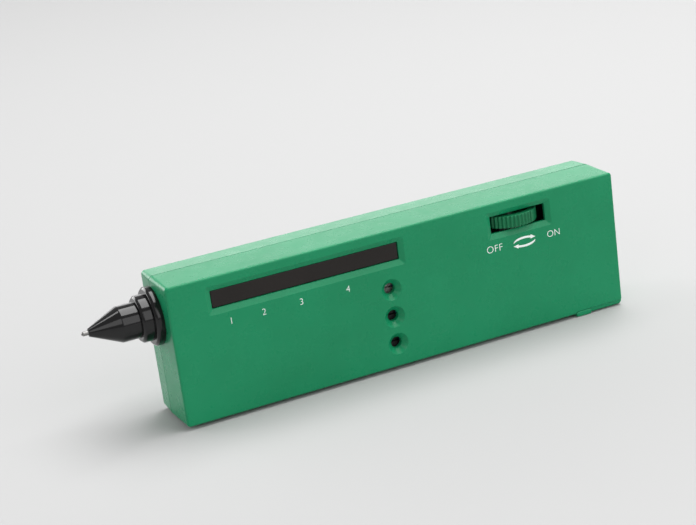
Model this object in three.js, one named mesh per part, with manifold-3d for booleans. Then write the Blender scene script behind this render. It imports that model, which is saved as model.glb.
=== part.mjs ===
// Handheld thermal diamond tester: a long two-shell case with a stepped probe nose, in millimetres.
// Case frame: X runs from the nose end to the battery end, the front faces -Y, Z is up,
// and the case's own left bottom edge is at X = 0, Z = 0 with Y = 0 at mid depth.
import * as THREE from 'three';
import { mergeVertices } from 'three/addons/utils/BufferGeometryUtils.js';
import Module from 'manifold-3d';

// Case: its three overall sizes follow from what lies inside it, further down
const wall = 2;
const cornerRadius = 1.2;
const edgeRadius = 0.7;
const innerCornerRadius = 1;
const frontShellDepth = 15;
const seamGap = 0.3;
const seamStep = 0.5;
const lipWidth = 0.9;
const lipHeight = 1.5;
const lipClearance = 0.12;

// Shared clearances and counts
const overrun = 1;
const looseFit = 0.2;
const closeFit = 0.1;
const solderGap = 0.3;
const fineSides = 32;
const roundSides = 18;
const smallSides = 12;
const cornerSteps = 3;

// Nose: reaches are measured outward from the case's left end
const noseBelowTop = 12.5;
const noseBehindMiddle = 2.4;
const collarMargin = 2.6;
const bigCollarReach = 2.9;
const smallCollarRadius = 7.7;
const smallCollarReach = 6.6;
const collarBevel = 0.7;
const spigotRadius = 7.4;
const barrelRadius = 5.9;
const barrelReach = 12.4;
const tipRadius = 1.3;
const tipReach = 22.5;
const flangeThickness = 3;
const flangeDrop = 1.2;
const neckRadius = 6;
const neckLength = 11;
const boreRadius = 4;
const boreReach = 10.4;
const slugBoreRadius = 2.3;
const slugBoreReach = 17.4;

// Probe mechanism
const pinRadius = 0.75;
const pinReach = 24.8;
const slugRadius = 1.9;
const slugLength = 5.3;
const rodRadius = 1;
const rodLength = 22.4;
const bushLength = 3.5;
const bushReach = 2.1;
const springWireRadius = 0.22;
const springTurns = 9;
const springStepsPerTurn = 8;
const springSides = 5;
const plugLength = 2.6;
const plugRim = 0.85;
const plugHoleRadius = 1.5;
const probeLeadRadius = 0.4;
const probeLeadSpread = 0.68;
const probePadInset = 6.5;
const probePadPitch = 2.2;
const probePadRise = 2.6;

// Lamp window and wheel window share one row
const windowRowBelowTop = 7.8;
const windowHeight = 6;
const windowFlareDepth = 1;
const windowFlareWidth = 1.7;
const lampWindowLength = 65.7;
const lensInset = 1.3;
const lensFlangeWidth = 1.7;
const lensFlangeThickness = 1.2;
const lensRimWidth = 1;
const lensRimHeight = 0.9;

// Lamps
const lampCount = 8;
const lampEndMargin = 5.3;
const lampRadius = 1.5;
const lampRimRadius = 1.9;
const lampRimHeight = 1;
const lampFrontGap = 0.6;
const lampLegSize = 0.45;
const lampLegSpacing = 2.54;
const lampLegTail = 1.2;
const holderMargin = 2.4;
const holderHeight = 8;

// Thumbwheel and its switch pot
const wheelWindowInset = 10.7;
const wheelSideGap = 0.5;
const wheelBackGap = 4.1;
const wheelProud = 1.5;
const wheelThickness = 4.2;
const ribCount = 44;
const ribDepth = 0.45;
const smoothLandDegrees = 38;
const smoothLandHalfRibs = 1.5;
const wheelDishRadius = 7.6;
const wheelDishDepth = 0.7;
const shaftRadius = 2;
const shaftFlat_share = 0.6;
const shaftPotDepth = 3.2;
const shaftTopInset = 0.1;
const wheelScrewHeadRadius = 2.6;
const wheelScrewHeadHeight = 0.8;
const wheelScrewRadius = 0.8;
const wheelScrewLength = 3;
const potHeight = 5.95;
const potFrontGap = 0.3;
const potBackGap = 5.7;
const potSideWidth = 11;
const potSideHeight = 3.4;
const potGap = 0.35;
const potBoardOverhang = 3.5;
const potBoardThickness = 1.2;
const shelfThickness = 1;
const shelfDepth = 4.3;
const clipWidth = 1.2;
const clipHeight = 3;

// Main board, which starts behind the nose and ends a little past the lamp window
const boardNoseGap = 0.55;
const boardPastWindow = 7.8;
const windowBeforeBoard = 3;
const boardFloorGap = 1;
const boardCeilingGap = 0.6;
const boardThickness = 1.6;
const boardBehindFrontWall = 6.4;
const boardCornerRadius = 1;
const postRadius = 2.4;
const boardScrewRadius = 1;
const boardScrewHeadRadius = 2;
const boardScrewHeadHeight = 1.4;
const boardScrewLength = 5;
const leftPostInset = 4.5;
const rightPostInset = 3.5;
const lowPostRise = 5;
const highPostBelowTop = 16;

// Three trimmers behind countersunk access holes
const trimmerCount = 3;
const trimmerBeforeWindowEnd = 4.5;
const firstTrimmerBelowTop = 20.1;
const lastTrimmerRise = 8;
const accessRadius = 1.9;
const countersinkRadius = 3.6;
const countersinkDepth = 1.7;
const sleeveRadius = 3.1;
const sleeveLength = 1.3;
const trimmerSize = 6.6;
const trimmerFrontGap = 0.6;
const rotorRadius = 2.2;
const rotorProud = 0.3;
const rotorSeat = 1.6;
const rotorSlotWidth = 0.7;
const rotorSlotDepth = 0.8;

// Parts on the back of the main board
const chipLength = 19.2;
const chipWidth = 6.4;
const chipHeight = 3.3;
const chipStandoff = 0.5;
const chipLegs = 7;
const chipLegPitch = 2.54;
const chipLegSize = 0.5;
const chipAlong_share = 0.52;
const chipUp_share = 0.5;
const buzzerRadius = 6;
const buzzerBackGap = 3.1;
const buzzerHoleRadius = 1;
const buzzerHoleDepth = 3;
const buzzerAlong_share = 0.66;
const buzzerUp_share = 0.2;
const bigCapacitorRadius = 3.2;
const bigCapacitorBackGap = 1.6;
const bigCapacitorAlong_share = 0.26;
const bigCapacitorUp_share = 0.22;
const smallCapacitorRadius = 2.5;
const smallCapacitorBackGap = 3.6;
const smallCapacitorAlong_share = 0.69;
const smallCapacitorUp_share = 0.75;
const capacitorGroove = 0.3;
const regulatorRadius = 2.4;
const regulatorHeight = 4.6;
const regulatorStandoff = 1.6;
const regulatorFlat_share = 0.45;
const regulatorAlong_share = 0.32;
const regulatorUp_share = 0.74;
const resistorCount = 3;
const resistorRadius = 1.1;
const resistorLength = 6.2;
const resistorLegRadius = 0.3;
const resistorLegSpan = 10;
const resistorHeight = 1.5;
const resistorPitch = 3.6;
const resistorAlong_share = 0.46;
const resistorRise = 4;

// Battery bay and the snap-on end door
const batteryLength = 45.9;
const batteryHeight = 26;
const batteryDepth = 17.4;
const batteryEdge = 1.6;
const batteryFloorGap = 0.3;
const batterySideGap = 1.6;
const padThickness = 2.6;
const padMargin = 1.7;
const studSpacing = 12.7;
const studHeight = 2.8;
const plusStudRadius = 2.8;
const minusStudRadius = 3.8;
const snapThickness = 3;
const snapWidth = 12;
const snapInset = 0.5;
const snapRoom = 7.9;
const snapCupWall = 0.8;
const snapCupHeight = 1.8;
const partitionBoardGap = 14.5;
const partitionThickness = 1.5;
const partitionNotchRise = 1.7;
const partitionNotchDrop = 1.3;
const bayTopGap = 0.3;
const doorStripLength = 18.6;
const doorStripDrop = 0.8;
const doorStripRise = 0.8;
const doorStripInset = 0.35;
const doorLipLength = 6;
const doorLipDrop = 1.2;
const doorLipDepth = 2.6;
const doorLipRadius = 0.8;
const doorLipEdge = 0.5;
const doorOverlap = 0.2;
const guideOffset = 6;
const guideWidth = 1;
const guideHeight = 0.9;
const guideInset = 4;
const gripCount = 5;
const gripPitch = 1.6;
const gripWidth = 0.7;
const gripDepth = 0.35;
const gripHeight = 9;

// Case screws, driven from the back
const bossRadius = 3.2;
const backBossRadius = 4.2;
const headSeatDepth = 4.5;
const headBoreRadius = 3;
const headRadius = 2.7;
const headHeight = 1.9;
const headCrown = 0.4;
const crossWidth = 0.7;
const crossReach = 1.7;
const crossDepth = 0.9;
const screwRadius = 1.4;
const screwLength = 13;
const screwHoleClearance = 0.15;
const leftScrewInset = 8;
const leftScrewRise = 9;
const middleScrewInset = 8.5;
const middleScrewRise = 7;
const middleScrewDrop = 5.5;
const rightScrewInset = 10.5;
const rightScrewDrop = 7.5;

// Leads inside the case
const leadRadius = 0.65;
const leadSides = 6;
const leadSteps = 13;

// Case sizes: the stack from the floor up, the row from the nose's rear to the door, and the battery's depth
const shelfBottom = wall + batteryFloorGap + batteryHeight + bayTopGap;
const shelfTop = shelfBottom + shelfThickness;
const potBoardTop = shelfTop + potBoardThickness;
const potTop = potBoardTop + potHeight;
const wheelBottom = potTop + potGap;
const wheelTop = wheelBottom + wheelThickness;
const rowZ = (wheelBottom + wheelTop) / 2;
const caseHeight = rowZ + windowRowBelowTop;
const flangeStart = wall + closeFit;
const flangeEnd = flangeStart + flangeThickness;
const neckEnd = flangeEnd + neckLength;
const boardStart = neckEnd + plugRim + boardNoseGap;
const lampWindowStart = boardStart - windowBeforeBoard;
const lampWindowEnd = lampWindowStart + lampWindowLength;
const boardEnd = lampWindowEnd + boardPastWindow;
const partitionX = boardEnd + partitionBoardGap;
const partitionEnd = partitionX + partitionThickness;
const batteryStart = partitionEnd + snapRoom;
const batteryEnd = batteryStart + batteryLength;
const padStart = batteryEnd + closeFit;
const innerEndX = padStart + padThickness;
const caseLength = innerEndX + wall;
const caseDepth = batteryDepth + 2 * (batterySideGap + wall);

// Places that follow from the sizes above
const frontY = -caseDepth / 2;
const backY = caseDepth / 2;
const innerFrontY = frontY + wall;
const innerBackY = backY - wall;
const partingY = frontY + frontShellDepth;
const floorZ = wall;
const ceilingZ = caseHeight - wall;
const noseY = noseBehindMiddle;
const noseZ = caseHeight - noseBelowTop;
const bigCollarRadius = caseDepth / 2 - collarMargin;
const wheelRadius = (caseDepth + wheelProud - wall - wheelBackGap) / 2;
const wheelWindowStart = partitionEnd + wheelWindowInset;
const wheelWindowEnd = wheelWindowStart + 2 * (wheelRadius + wheelSideGap);
const wheelX = (wheelWindowStart + wheelWindowEnd) / 2;
const wheelY = frontY - wheelProud + wheelRadius;
const potRadius = wheelY - innerFrontY - potFrontGap;
const potSideDepth = innerBackY - potBackGap - wheelY;
const potBoardMargin = wheelRadius + potBoardOverhang;
const boardBottom = floorZ + boardFloorGap;
const boardTop = ceilingZ - boardCeilingGap;
const boardFrontY = innerFrontY + boardBehindFrontWall;
const boardBackY = boardFrontY + boardThickness;
const roomBehindBoard = innerBackY - boardBackY;
const leftPostX = boardStart + leftPostInset;
const rightPostX = boardEnd - rightPostInset;
const lowPostZ = boardBottom + lowPostRise;
const highPostZ = caseHeight - highPostBelowTop;
const lampPitch = (lampWindowLength - 2 * lampEndMargin) / (lampCount - 1);
const lampHeight = boardBehindFrontWall - lensFlangeThickness - lampFrontGap;
const trimmerX = lampWindowEnd - trimmerBeforeWindowEnd;
const trimmerPitch = (caseHeight - firstTrimmerBelowTop - lastTrimmerRise) / (trimmerCount - 1);
const trimmerDepth = boardBehindFrontWall - sleeveLength - rotorProud - trimmerFrontGap;
const batteryBottom = floorZ + batteryFloorGap;
const batteryTop = batteryBottom + batteryHeight;
const batteryZ = (batteryBottom + batteryTop) / 2;
const snapHeight = batteryHeight - 2 * snapInset;
const partitionNotchBottom = batteryZ + partitionNotchRise;
const partitionNotchTop = batteryTop - partitionNotchDrop;
const doorStart = caseLength - doorStripLength;
const doorTop = shelfBottom + doorOverlap;
const flangeBottom = noseZ - spigotRadius - flangeDrop;
const ribStart = flangeEnd + closeFit;
const screwSeatY = backY - headSeatDepth;
const quarter = Math.PI / 2;

const wasm = await Module();
wasm.setup();

const green = new THREE.MeshStandardMaterial({ color: 0x2f8f62, roughness: 0.38, metalness: 0 });
const black = new THREE.MeshStandardMaterial({ color: 0x141416, roughness: 0.2, metalness: 0 });
const smoke = new THREE.MeshStandardMaterial({ color: 0x241c1c, roughness: 0.12, metalness: 0 });
const steel = new THREE.MeshStandardMaterial({ color: 0xb8bcc0, roughness: 0.3, metalness: 1 });
const brass = new THREE.MeshStandardMaterial({ color: 0xc9a457, roughness: 0.35, metalness: 1 });
const boardGreen = new THREE.MeshStandardMaterial({ color: 0x1f5a34, roughness: 0.5, metalness: 0 });
const darkPlastic = new THREE.MeshStandardMaterial({ color: 0x222326, roughness: 0.55, metalness: 0 });
const bluePlastic = new THREE.MeshStandardMaterial({ color: 0x2d5fa8, roughness: 0.45, metalness: 0 });
const redLamp = new THREE.MeshStandardMaterial({ color: 0xb02a22, roughness: 0.15, metalness: 0 });
const greenLamp = new THREE.MeshStandardMaterial({ color: 0x3f9a3a, roughness: 0.15, metalness: 0 });
const foam = new THREE.MeshStandardMaterial({ color: 0x3a3a3c, roughness: 0.95, metalness: 0 });
const redSleeve = new THREE.MeshStandardMaterial({ color: 0xa82420, roughness: 0.5, metalness: 0 });
const tan = new THREE.MeshStandardMaterial({ color: 0xc8ae84, roughness: 0.6, metalness: 0 });
const cellWrap = new THREE.MeshStandardMaterial({ color: 0x50545a, roughness: 0.35, metalness: 0 });

// Makes a closed geometry into a solid that can be joined and cut, with its faces pointing out
function solid(geometry) {
  const bare = geometry.clone();
  bare.deleteAttribute('normal');
  bare.deleteAttribute('uv');
  const merged = mergeVertices(bare);
  const points = merged.attributes.position.array;
  const corners = merged.index.array;
  const kept = [];
  let volume = 0;
  for (let i = 0; i < corners.length; i += 3) {
    const [a, b, c] = [corners[i], corners[i + 1], corners[i + 2]];
    if (a === b || b === c || c === a) continue;
    kept.push(a, b, c);
    const pa = new THREE.Vector3().fromArray(points, a * 3);
    const pb = new THREE.Vector3().fromArray(points, b * 3);
    const pc = new THREE.Vector3().fromArray(points, c * 3);
    volume += pa.dot(pb.cross(pc));
  }
  if (volume < 0) {
    for (let i = 0; i < kept.length; i += 3) {
      [kept[i], kept[i + 1]] = [kept[i + 1], kept[i]];
    }
  }
  const mesh = new wasm.Mesh({
    numProp: 3,
    vertProperties: Float32Array.from(points),
    triVerts: Uint32Array.from(kept),
  });
  return new wasm.Manifold(mesh);
}

// Gives a solid back as a geometry with flat-shaded normals
function geometryOf(body) {
  const mesh = body.getMesh();
  const geometry = new THREE.BufferGeometry();
  geometry.setAttribute('position', new THREE.BufferAttribute(Float32Array.from(mesh.vertProperties), 3));
  geometry.setIndex(new THREE.BufferAttribute(Uint32Array.from(mesh.triVerts), 1));
  geometry.computeVertexNormals();
  return geometry;
}

function join(...bodies) {
  return bodies.reduce((all, body) => all.add(body));
}

function cut(body, ...tools) {
  return tools.reduce((rest, tool) => rest.subtract(tool), body);
}

function block(x0, x1, y0, y1, z0, z1) {
  const geometry = new THREE.BoxGeometry(x1 - x0, y1 - y0, z1 - z0);
  geometry.translate((x0 + x1) / 2, (y0 + y1) / 2, (z0 + z1) / 2);
  return solid(geometry);
}

// Rounds, as frustums where the two radii differ
function roundAlongY(x, z, y0, y1, radius0, radius1 = radius0, sides = roundSides) {
  const geometry = new THREE.CylinderGeometry(radius1, radius0, y1 - y0, sides);
  geometry.translate(x, (y0 + y1) / 2, z);
  return solid(geometry);
}

function roundAlongX(y, z, x0, x1, radius, sides = roundSides) {
  const geometry = new THREE.CylinderGeometry(radius, radius, x1 - x0, sides);
  geometry.rotateZ(quarter);
  geometry.translate((x0 + x1) / 2, y, z);
  return solid(geometry);
}

function roundAlongZ(x, y, z0, z1, radius, sides = roundSides) {
  const geometry = new THREE.CylinderGeometry(radius, radius, z1 - z0, sides);
  geometry.rotateX(quarter);
  geometry.translate(x, y, (z0 + z1) / 2);
  return solid(geometry);
}

// A rectangle with round corners, in X and Z
function roundedOutline(x0, x1, z0, z1, radius) {
  const outline = new THREE.Shape();
  outline.moveTo(x0 + radius, z0);
  outline.lineTo(x1 - radius, z0);
  outline.absarc(x1 - radius, z0 + radius, radius, -quarter, 0);
  outline.lineTo(x1, z1 - radius);
  outline.absarc(x1 - radius, z1 - radius, radius, 0, quarter);
  outline.lineTo(x0 + radius, z1);
  outline.absarc(x0 + radius, z1 - radius, radius, quarter, quarter * 2);
  outline.lineTo(x0, z0 + radius);
  outline.absarc(x0 + radius, z0 + radius, radius, quarter * 2, quarter * 3);
  return outline;
}

// Extrudes an outline drawn in X and Z from one Y to another
function slab(outline, y0, y1, curveSegments = cornerSteps) {
  const geometry = new THREE.ExtrudeGeometry(outline, { depth: y1 - y0, bevelEnabled: false, curveSegments });
  geometry.rotateX(quarter);
  geometry.translate(0, y1, 0);
  return solid(geometry);
}

// A block with round corners in X and Z and rounded edges at its front and back
function roundedBlock(x0, x1, y0, y1, z0, z1, corner, edge, steps = cornerSteps) {
  const geometry = new THREE.ExtrudeGeometry(roundedOutline(x0, x1, z0, z1, corner), {
    depth: y1 - y0 - 2 * edge,
    bevelThickness: edge,
    bevelSize: edge,
    bevelOffset: -edge,
    bevelSegments: 2,
    curveSegments: steps,
  });
  geometry.rotateX(quarter);
  geometry.translate(0, y1 - edge, 0);
  return solid(geometry);
}

// A window cut whose mouth flares out evenly towards the front face
function flaredWindow(x0, x1, z0, z1) {
  const depth = windowFlareDepth + overrun;
  const widen = windowFlareWidth * depth / windowFlareDepth;
  const geometry = new THREE.BoxGeometry(x1 - x0, depth, z1 - z0);
  geometry.translate((x0 + x1) / 2, frontY - overrun + depth / 2, (z0 + z1) / 2);
  const points = geometry.attributes.position;
  for (let i = 0; i < points.count; i += 1) {
    if (points.getY(i) > frontY) continue;
    points.setX(i, points.getX(i) + (points.getX(i) > (x0 + x1) / 2 ? widen : -widen));
    points.setZ(i, points.getZ(i) + (points.getZ(i) > (z0 + z1) / 2 ? widen : -widen));
  }
  const throat = block(x0, x1, frontY, innerFrontY + overrun, z0, z1);
  return join(solid(geometry), throat);
}

// Turns a closed profile of radius and reach points about the nose axis, reach pointing out of the case
function noseRound(profile, sides = fineSides) {
  const points = profile.map(([radius, reach]) => new THREE.Vector2(radius, reach));
  const geometry = new THREE.LatheGeometry(points, sides);
  geometry.rotateZ(quarter);
  geometry.translate(0, noseY, noseZ);
  return solid(geometry);
}

// Turns a profile of radius and height points about an axis along Y, standing towards one side
function turnedAlongY(profile, x, y, z, towards, sides = roundSides) {
  const points = profile.map(([radius, height]) => new THREE.Vector2(radius, height * towards));
  const geometry = new THREE.LatheGeometry(points, sides);
  geometry.translate(x, y, z);
  return solid(geometry);
}

// A round with one side cut flat, in X and Y
function flattedRound(radius, share) {
  const angle = Math.acos(share);
  const outline = new THREE.Shape();
  outline.absarc(0, 0, radius, angle, quarter * 4 - angle);
  outline.closePath();
  return outline;
}

// A tube along a smooth curve through hand-chosen points
function lead(points, radius = leadRadius, steps = leadSteps) {
  const section = new THREE.Shape();
  for (let i = 0; i < leadSides; i += 1) {
    const angle = quarter * 4 * i / leadSides;
    const spot = [radius * Math.cos(angle), radius * Math.sin(angle)];
    if (i === 0) section.moveTo(...spot);
    else section.lineTo(...spot);
  }
  section.closePath();
  const path = new THREE.CatmullRomCurve3(points.map((p) => new THREE.Vector3(...p)));
  return solid(new THREE.ExtrudeGeometry(section, { steps, extrudePath: path }));
}

// Shells
function lipRing(y0, y1, inset) {
  const outer = roundedOutline(
    wall - lipWidth + inset, caseLength - wall + lipWidth - inset,
    wall - lipWidth + inset, caseHeight - wall + lipWidth - inset, innerCornerRadius,
  );
  const inner = roundedOutline(wall, innerEndX, floorZ, ceilingZ, innerCornerRadius);
  const ring = cut(slab(outer, y0, y1), slab(inner, y0 - overrun, y1 + overrun));
  const doorSide = block(
    doorStart - lipWidth - looseFit, caseLength + overrun,
    y0 - overrun, y1 + overrun, -overrun, shelfTop,
  );
  const noseSide = roundAlongX(
    noseY, noseZ, -overrun, flangeStart + overrun, spigotRadius + lipWidth, fineSides,
  );
  return cut(ring, doorSide, noseSide);
}

function caseBlock() {
  return roundedBlock(0, caseLength, frontY, backY, 0, caseHeight, cornerRadius, edgeRadius);
}

function cavity(y0, y1) {
  return slab(roundedOutline(wall, innerEndX, floorZ, ceilingZ, innerCornerRadius), y0, y1);
}

// The shallow shadow line round the case where its two shells meet
function seamGroove() {
  const y0 = partingY - seamGap / 2;
  const y1 = partingY + seamGap / 2;
  const outside = block(-overrun, caseLength + overrun, y0, y1, -overrun, caseHeight + overrun);
  const inside = roundedOutline(
    seamStep, caseLength - seamStep, seamStep, caseHeight - seamStep, cornerRadius - seamStep,
  );
  return cut(outside, slab(inside, y0 - overrun, y1 + overrun));
}

// The opening in the end wall and the step in the bottom edge that the door fills
function doorOpening() {
  const mouth = block(innerEndX, caseLength + overrun, innerFrontY, innerBackY, -overrun, doorTop + looseFit);
  const strip = block(
    doorStart - looseFit, caseLength + overrun,
    frontY - overrun, backY + overrun, -overrun, doorStripRise + looseFit,
  );
  const slots = [-guideOffset, guideOffset].map((y) => block(
    doorStart + guideInset - looseFit, caseLength,
    y - guideWidth / 2 - looseFit, y + guideWidth / 2 + looseFit, 0, floorZ + overrun,
  ));
  return join(mouth, strip, ...slots);
}

function noseHole() {
  return roundAlongX(noseY, noseZ, -overrun, flangeStart, spigotRadius + looseFit, fineSides);
}

function accessHole(z) {
  const holeEnd = innerFrontY + sleeveLength + overrun;
  const throughHole = roundAlongY(trimmerX, z, frontY - overrun, holeEnd, accessRadius);
  const flare = (countersinkRadius - accessRadius) / countersinkDepth;
  const sink = roundAlongY(
    trimmerX, z, frontY - overrun, frontY + countersinkDepth,
    countersinkRadius + flare * overrun, accessRadius,
  );
  return join(throughHole, sink);
}

function trimmerZ(index) {
  return caseHeight - firstTrimmerBelowTop - index * trimmerPitch;
}

function screwSpots() {
  return [
    [leftScrewInset, leftScrewRise],
    [partitionX - middleScrewInset, caseHeight - middleScrewDrop],
    [partitionX - middleScrewInset, middleScrewRise],
    [caseLength - rightScrewInset, caseHeight - rightScrewDrop],
  ];
}

// Board posts: the two that take a screw, then the two that only support
function screwPosts() {
  return [[leftPostX, lowPostZ], [rightPostX, highPostZ]];
}

function plainPosts() {
  return [[leftPostX, highPostZ], [along(buzzerAlong_share), lowPostZ]];
}

function along(share) {
  return boardStart + (boardEnd - boardStart) * share;
}

function up(share) {
  return boardBottom + (boardTop - boardBottom) * share;
}

// A raised frame inside the front wall that locates the window's flange
function lensRim() {
  const x0 = lampWindowStart - lensFlangeWidth - looseFit;
  const x1 = lampWindowEnd + lensFlangeWidth + looseFit;
  const z0 = rowZ - windowHeight / 2 - lensFlangeWidth - looseFit;
  const z1 = rowZ + windowHeight / 2 + lensFlangeWidth + looseFit;
  const y1 = innerFrontY + lensRimHeight;
  const outer = block(x0 - lensRimWidth, x1 + lensRimWidth, innerFrontY, y1, z0 - lensRimWidth, ceilingZ);
  return cut(outer, block(x0, x1, innerFrontY - overrun, y1 + overrun, z0, z1));
}

// Ribs behind the nose's flange and the ledge under it, on one shell
function noseRibs(wallY, openY) {
  const [y0, y1] = wallY < openY ? [wallY, openY] : [openY, wallY];
  const reachY = wallY < openY ? noseY - neckRadius - looseFit : noseY + neckRadius + looseFit;
  const [r0, r1] = wallY < openY ? [wallY, reachY] : [reachY, wallY];
  const rib = block(ribStart, ribStart + partitionThickness, r0, r1, flangeBottom, ceilingZ);
  const ledgeTop = flangeBottom - closeFit;
  const ledge = block(wall, ribStart + partitionThickness, y0, y1, ledgeTop - partitionThickness, ledgeTop);
  return join(rib, ledge);
}

function frontShell() {
  const outer = caseBlock().intersect(
    block(-overrun, caseLength + overrun, frontY - overrun, partingY, -overrun, caseHeight + overrun),
  );
  const step = lipRing(partingY - lipHeight, partingY, 0);
  const hollow = cut(outer, cavity(innerFrontY, partingY + overrun), step);
  const bosses = screwSpots().map(([x, z]) => (
    roundAlongY(x, z, innerFrontY, partingY, bossRadius, undefined, smallSides)
  ));
  const posts = [...screwPosts(), ...plainPosts()].map(([x, z]) => (
    roundAlongY(x, z, innerFrontY, boardFrontY, postRadius, undefined, smallSides)
  ));
  const sleeves = Array.from({ length: trimmerCount }, (_, i) => (
    roundAlongY(trimmerX, trimmerZ(i), innerFrontY, innerFrontY + sleeveLength, sleeveRadius)
  ));
  const shelf = block(
    partitionEnd, innerEndX, innerFrontY, innerFrontY + shelfDepth, shelfBottom, shelfTop,
  );
  const partition = block(
    partitionX, partitionEnd, innerFrontY, partingY, floorZ, shelfTop,
  );
  const clips = [-1, 1].map((side) => {
    const edge = wheelX + side * (potBoardMargin - clipWidth);
    return block(
      edge - clipWidth / 2, edge + clipWidth / 2, innerFrontY, innerFrontY + shelfDepth,
      potBoardTop + closeFit, potBoardTop + clipHeight,
    );
  });
  const filled = join(
    hollow, ...bosses, ...posts, ...sleeves, shelf, partition, ...clips,
    lensRim(), noseRibs(innerFrontY, partingY),
  );
  const half = windowHeight / 2;
  const windows = [
    flaredWindow(lampWindowStart, lampWindowEnd, rowZ - half, rowZ + half),
    flaredWindow(wheelWindowStart, wheelWindowEnd, rowZ - half, rowZ + half),
  ];
  const screwHoles = screwSpots().map(([x, z]) => roundAlongY(
    x, z, screwSeatY - screwLength - overrun, partingY + overrun, screwRadius + screwHoleClearance, undefined,
    smallSides,
  ));
  const postHoles = screwPosts().map(([x, z]) => roundAlongY(
    x, z, boardBackY - boardScrewLength - overrun, boardFrontY + overrun, boardScrewRadius + closeFit,
    undefined, smallSides,
  ));
  const access = Array.from({ length: trimmerCount }, (_, i) => accessHole(trimmerZ(i)));
  return cut(
    filled, ...windows, ...access, ...screwHoles, ...postHoles, noseHole(), doorOpening(), seamGroove(),
  );
}

function backShell() {
  const outer = caseBlock().intersect(
    block(-overrun, caseLength + overrun, partingY, backY + overrun, -overrun, caseHeight + overrun),
  );
  const hollow = cut(outer, cavity(partingY - overrun, innerBackY));
  const lip = lipRing(partingY - lipHeight + lipClearance, partingY + overrun, lipClearance);
  const bosses = screwSpots().map(([x, z]) => (
    roundAlongY(x, z, partingY + closeFit, innerBackY + overrun, backBossRadius, undefined, smallSides)
  ));
  const bossTrim = block(
    -overrun, caseLength + overrun, backY, backY + overrun, -overrun, caseHeight + overrun,
  );
  const shelf = block(
    partitionEnd, innerEndX, innerBackY - shelfDepth, innerBackY, shelfBottom, shelfTop,
  );
  const partition = block(
    partitionX, partitionEnd, partingY + closeFit, innerBackY, floorZ, shelfTop,
  );
  const notch = block(
    partitionX - overrun, partitionEnd + overrun,
    partingY - overrun, innerBackY - shelfDepth / 2, partitionNotchBottom, partitionNotchTop,
  );
  const ribs = noseRibs(innerBackY, partingY + closeFit);
  const shell = join(hollow, lip, ...bosses, shelf, cut(partition, notch), ribs);
  const screwCuts = screwSpots().flatMap(([x, z]) => [
    roundAlongY(x, z, partingY - overrun, backY + overrun, screwRadius + looseFit, undefined, smallSides),
    roundAlongY(x, z, screwSeatY, backY + overrun, headBoreRadius),
  ]);
  const boardRoom = block(
    boardStart - looseFit, boardEnd + looseFit, partingY - lipHeight - overrun, boardBackY + overrun,
    boardBottom - looseFit, boardTop + looseFit,
  );
  return cut(shell, ...screwCuts, bossTrim, noseHole(), doorOpening(), seamGroove(), boardRoom);
}

// End door: an end plate and a bottom strip that wraps the edge, with a thumb lip and guide ribs
function batteryDoor() {
  const envelope = roundedBlock(
    0, caseLength, frontY + doorStripInset, backY - doorStripInset, -doorStripDrop, caseHeight,
    cornerRadius, edgeRadius,
  );
  const strip = block(doorStart, caseLength, frontY, backY, -doorStripDrop, doorStripRise);
  const plate = block(
    innerEndX + closeFit, caseLength, innerFrontY + looseFit, innerBackY - looseFit, 0, doorTop,
  );
  const guides = [-guideOffset, guideOffset].map((y) => block(
    doorStart + guideInset, innerEndX + wall / 2, y - guideWidth / 2, y + guideWidth / 2,
    doorStripRise - closeFit, doorStripRise + guideHeight,
  ));
  const lip = roundedBlock(
    doorStart, doorStart + doorLipLength, frontY, frontY + doorLipDepth, -doorLipDrop, doorStripRise,
    doorLipRadius, doorLipEdge, 3,
  );
  const door = join(join(strip, plate).intersect(envelope), lip, ...guides);
  const grips = Array.from({ length: gripCount }, (_, i) => {
    const y = (i - (gripCount - 1) / 2) * gripPitch;
    const z = doorTop / 2;
    return block(
      caseLength - gripDepth, caseLength + overrun, y - gripWidth / 2, y + gripWidth / 2,
      z - gripHeight / 2, z + gripHeight / 2,
    );
  });
  return cut(door, ...grips);
}

function doorPad() {
  const half = batteryDepth / 2 - padMargin;
  const padEnd = innerEndX + closeFit;
  return block(padStart, padEnd, -half, half, batteryBottom + padMargin, batteryTop - padMargin);
}

function windowLens() {
  const half = windowHeight / 2;
  const face = block(
    lampWindowStart + looseFit, lampWindowEnd - looseFit, frontY + lensInset, innerFrontY,
    rowZ - half + looseFit, rowZ + half - looseFit,
  );
  const flange = block(
    lampWindowStart - lensFlangeWidth, lampWindowEnd + lensFlangeWidth,
    innerFrontY, innerFrontY + lensFlangeThickness,
    rowZ - half - lensFlangeWidth, rowZ + half + lensFlangeWidth,
  );
  return join(face, flange);
}

// Nose and probe
function noseCone() {
  const rear = -neckEnd;
  const outside = noseRound([
    [pinRadius + looseFit, tipReach],
    [tipRadius, tipReach],
    [barrelRadius, barrelReach],
    [barrelRadius, smallCollarReach],
    [smallCollarRadius - collarBevel, smallCollarReach],
    [smallCollarRadius, smallCollarReach - collarBevel],
    [smallCollarRadius, bigCollarReach],
    [bigCollarRadius - collarBevel, bigCollarReach],
    [bigCollarRadius, bigCollarReach - collarBevel],
    [bigCollarRadius, closeFit],
    [spigotRadius, closeFit],
    [spigotRadius, -flangeStart],
    [neckRadius, -flangeStart],
    [neckRadius, rear],
    [boreRadius, rear],
    [boreRadius, boreReach],
    [slugBoreRadius, boreReach],
    [slugBoreRadius, slugBoreReach],
    [pinRadius + looseFit, slugBoreReach],
    [pinRadius + looseFit, tipReach],
  ]);
  const plate = block(
    flangeStart, flangeEnd, innerFrontY + looseFit, innerBackY - looseFit,
    flangeBottom, ceilingZ - innerCornerRadius,
  );
  const bore = roundAlongX(
    noseY, noseZ, flangeStart - overrun, flangeEnd + overrun, neckRadius - closeFit, fineSides,
  );
  return join(outside, cut(plate, bore));
}

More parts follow.
